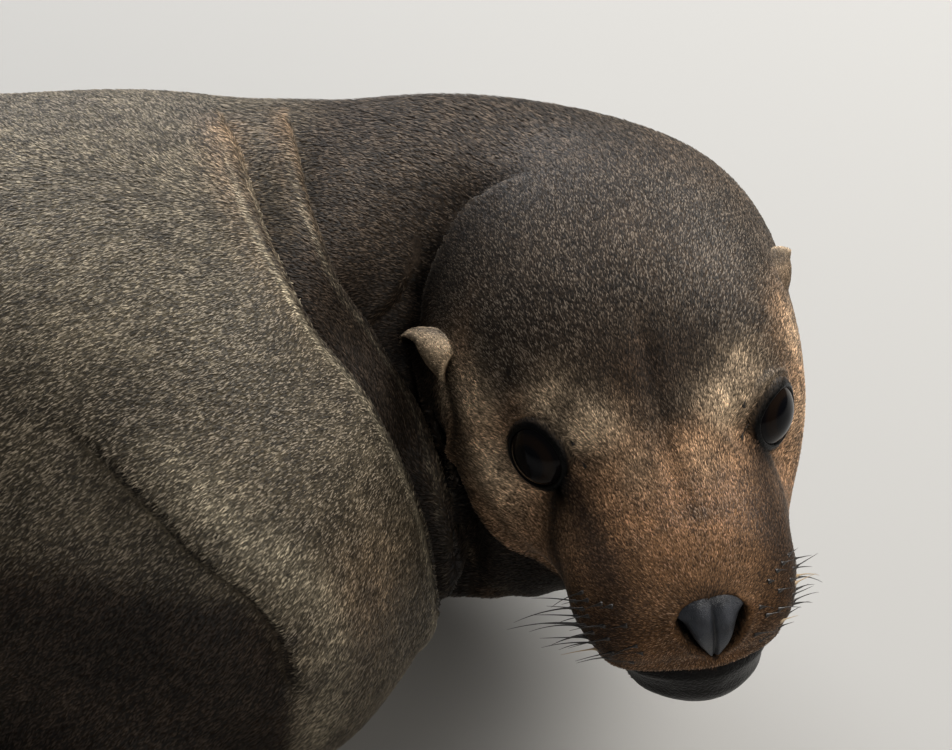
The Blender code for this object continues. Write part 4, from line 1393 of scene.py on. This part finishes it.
def whiskers():
    tree = face_tree(hide_mesh, hide_head)
    build = bmesh.new()
    layer = build.verts.layers.float.new("age")
    for side in (-1, 1):
        for height, first, last, count, longest in ROWS:
            for k in range(count):
                x = first + (last - first) * (k + 0.5 * draw.random()) / max(count - 1, 1)
                z = height + draw.uniform(-1.2, 1.2)
                hit = tree.ray_cast(Vector((x, side * 90, z)), Vector((0, -side, 0)))[0]
                if hit is None:
                    continue
                root = np.array(hit) - np.array([0, side * 0.8, 0])
                back = k / count
                length = longest * (0.5 + 0.6 * back) * draw.uniform(0.75, 1.15)
                length *= LEFT_SHARE if side > 0 else 1.0
                outward = (-0.1 - 0.55 * back + draw.uniform(-0.15, 0.15), side,
                           draw.uniform(-0.1, 0.25) - 0.25 * back)
                droop = np.array([-0.2, 0.0, -0.42 + draw.uniform(-0.12, 0.3)]) * draw.uniform(0.6, 1.25)
                pale = 1.0 if draw.random() < PALE_CHANCE else 0.0
                bristle(build, root, outward, droop, length, BRISTLE_RADIUS, pale, layer)
        for x, y, z in ((16, 30, 22), (10, 33, 23)):
            hit = tree.ray_cast(Vector((x, side * y, 80)), Vector((0, 0, -1)))[0]
            root = np.array(hit) - np.array([0, 0, 0.6])
            bristle(build, root, (-0.4, side * 0.5, 1), (-0.5, side * 0.3, -0.5), 9.0, BROW_RADIUS, 0.0,
                    layer)
    return mesh_of("whiskers", build)


def whisker_material():
    material = plain_material("whiskers", (0.02, 0.015, 0.012), 0.35)
    tree = material.node_tree
    cloud = noise(tree, own_place(tree), 300.0)
    dark = mixed(tree, cloud, (0.006, 0.005, 0.004, 1), (0.022, 0.015, 0.010, 1))
    feed(tree, "Base Color", mixed(tree, sheet(tree, "age"), dark, (0.45, 0.33, 0.20, 1)))
    return material


whisker_piece = smooth_piece("whiskers", whiskers(), whisker_material())
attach(whisker_piece, "root")

# ---- The claws -------------------------------------------------------------------------------------------
# Small horn nails. The three middle toes of each hind flipper carry one well back from the edge of the web,
# the rest are only nubs, as on the fore flippers.
NAIL_SIDES = 8
FORE_ROOT = (-150, 160)
NAILS = [  # root of the flipper's fan, way of the toe in degrees, how far out the nail stands, nail's length
    *((HIND_ROOT, *nail) for nail in zip(TOE_WAYS, (86, 92, 92, 96, 104), (2.5, 8.0, 9.0, 8.0, 2.5))),
    *((FORE_ROOT, *nail) for nail in ((139, 150, 2.0), (146, 160, 2.5), (152, 150, 2.0))),
]


def claws():
    tree = face_tree(hide_mesh, hide_places)
    build = bmesh.new()
    for side in (-1, 1):
        for (x, y), turn, far, long in NAILS:
            ahead = np.array([math.cos(math.radians(turn)), side * math.sin(math.radians(turn)), 0])
            spot = np.array([x, side * y, 0]) + ahead * far
            hit, normal = tree.ray_cast(Vector((spot[0], spot[1], 120)), Vector((0, 0, -1)))[:2]
            if hit is None:
                continue
            up = np.array(normal)
            ahead = unit(ahead - up * (ahead @ up))
            beside = np.cross(up, ahead)
            rings = []
            for t in np.linspace(0, 1, 8):
                middle = np.array(hit) + ahead * (long * t - 1.0)
                middle = middle + up * (0.5 + 0.5 * math.sin(t * 2.2) - 0.7 * t * t)
                radius = 0.19 * long * math.sqrt(max(1 - t ** 2.2, 0.004)) + 0.25
                rings.append([build.verts.new(from_body(
                    middle + radius * (math.cos(a) * beside + 0.62 * math.sin(a) * up)))
                    for a in np.linspace(0, 2 * math.pi, NAIL_SIDES + 1)[:-1]])
            join_rings(build, rings)
    return mesh_of("claws", build)


def claw_material():
    material = plain_material("claws", (0.05, 0.04, 0.03), 0.38)
    tree = material.node_tree
    grain = noise(tree, own_place(tree), 700.0, 3.0)
    feed(tree, "Base Color", mixed(tree, ramp(tree, grain, 0, 1, (0.35, 0.65)), (0.030, 0.023, 0.018, 1),
                                   (0.085, 0.066, 0.048, 1)))
    relief(tree, grain, 0.3, 0.0002)
    return material


claw_piece = smooth_piece("claws", claws(), claw_material())
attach(claw_piece, "root")
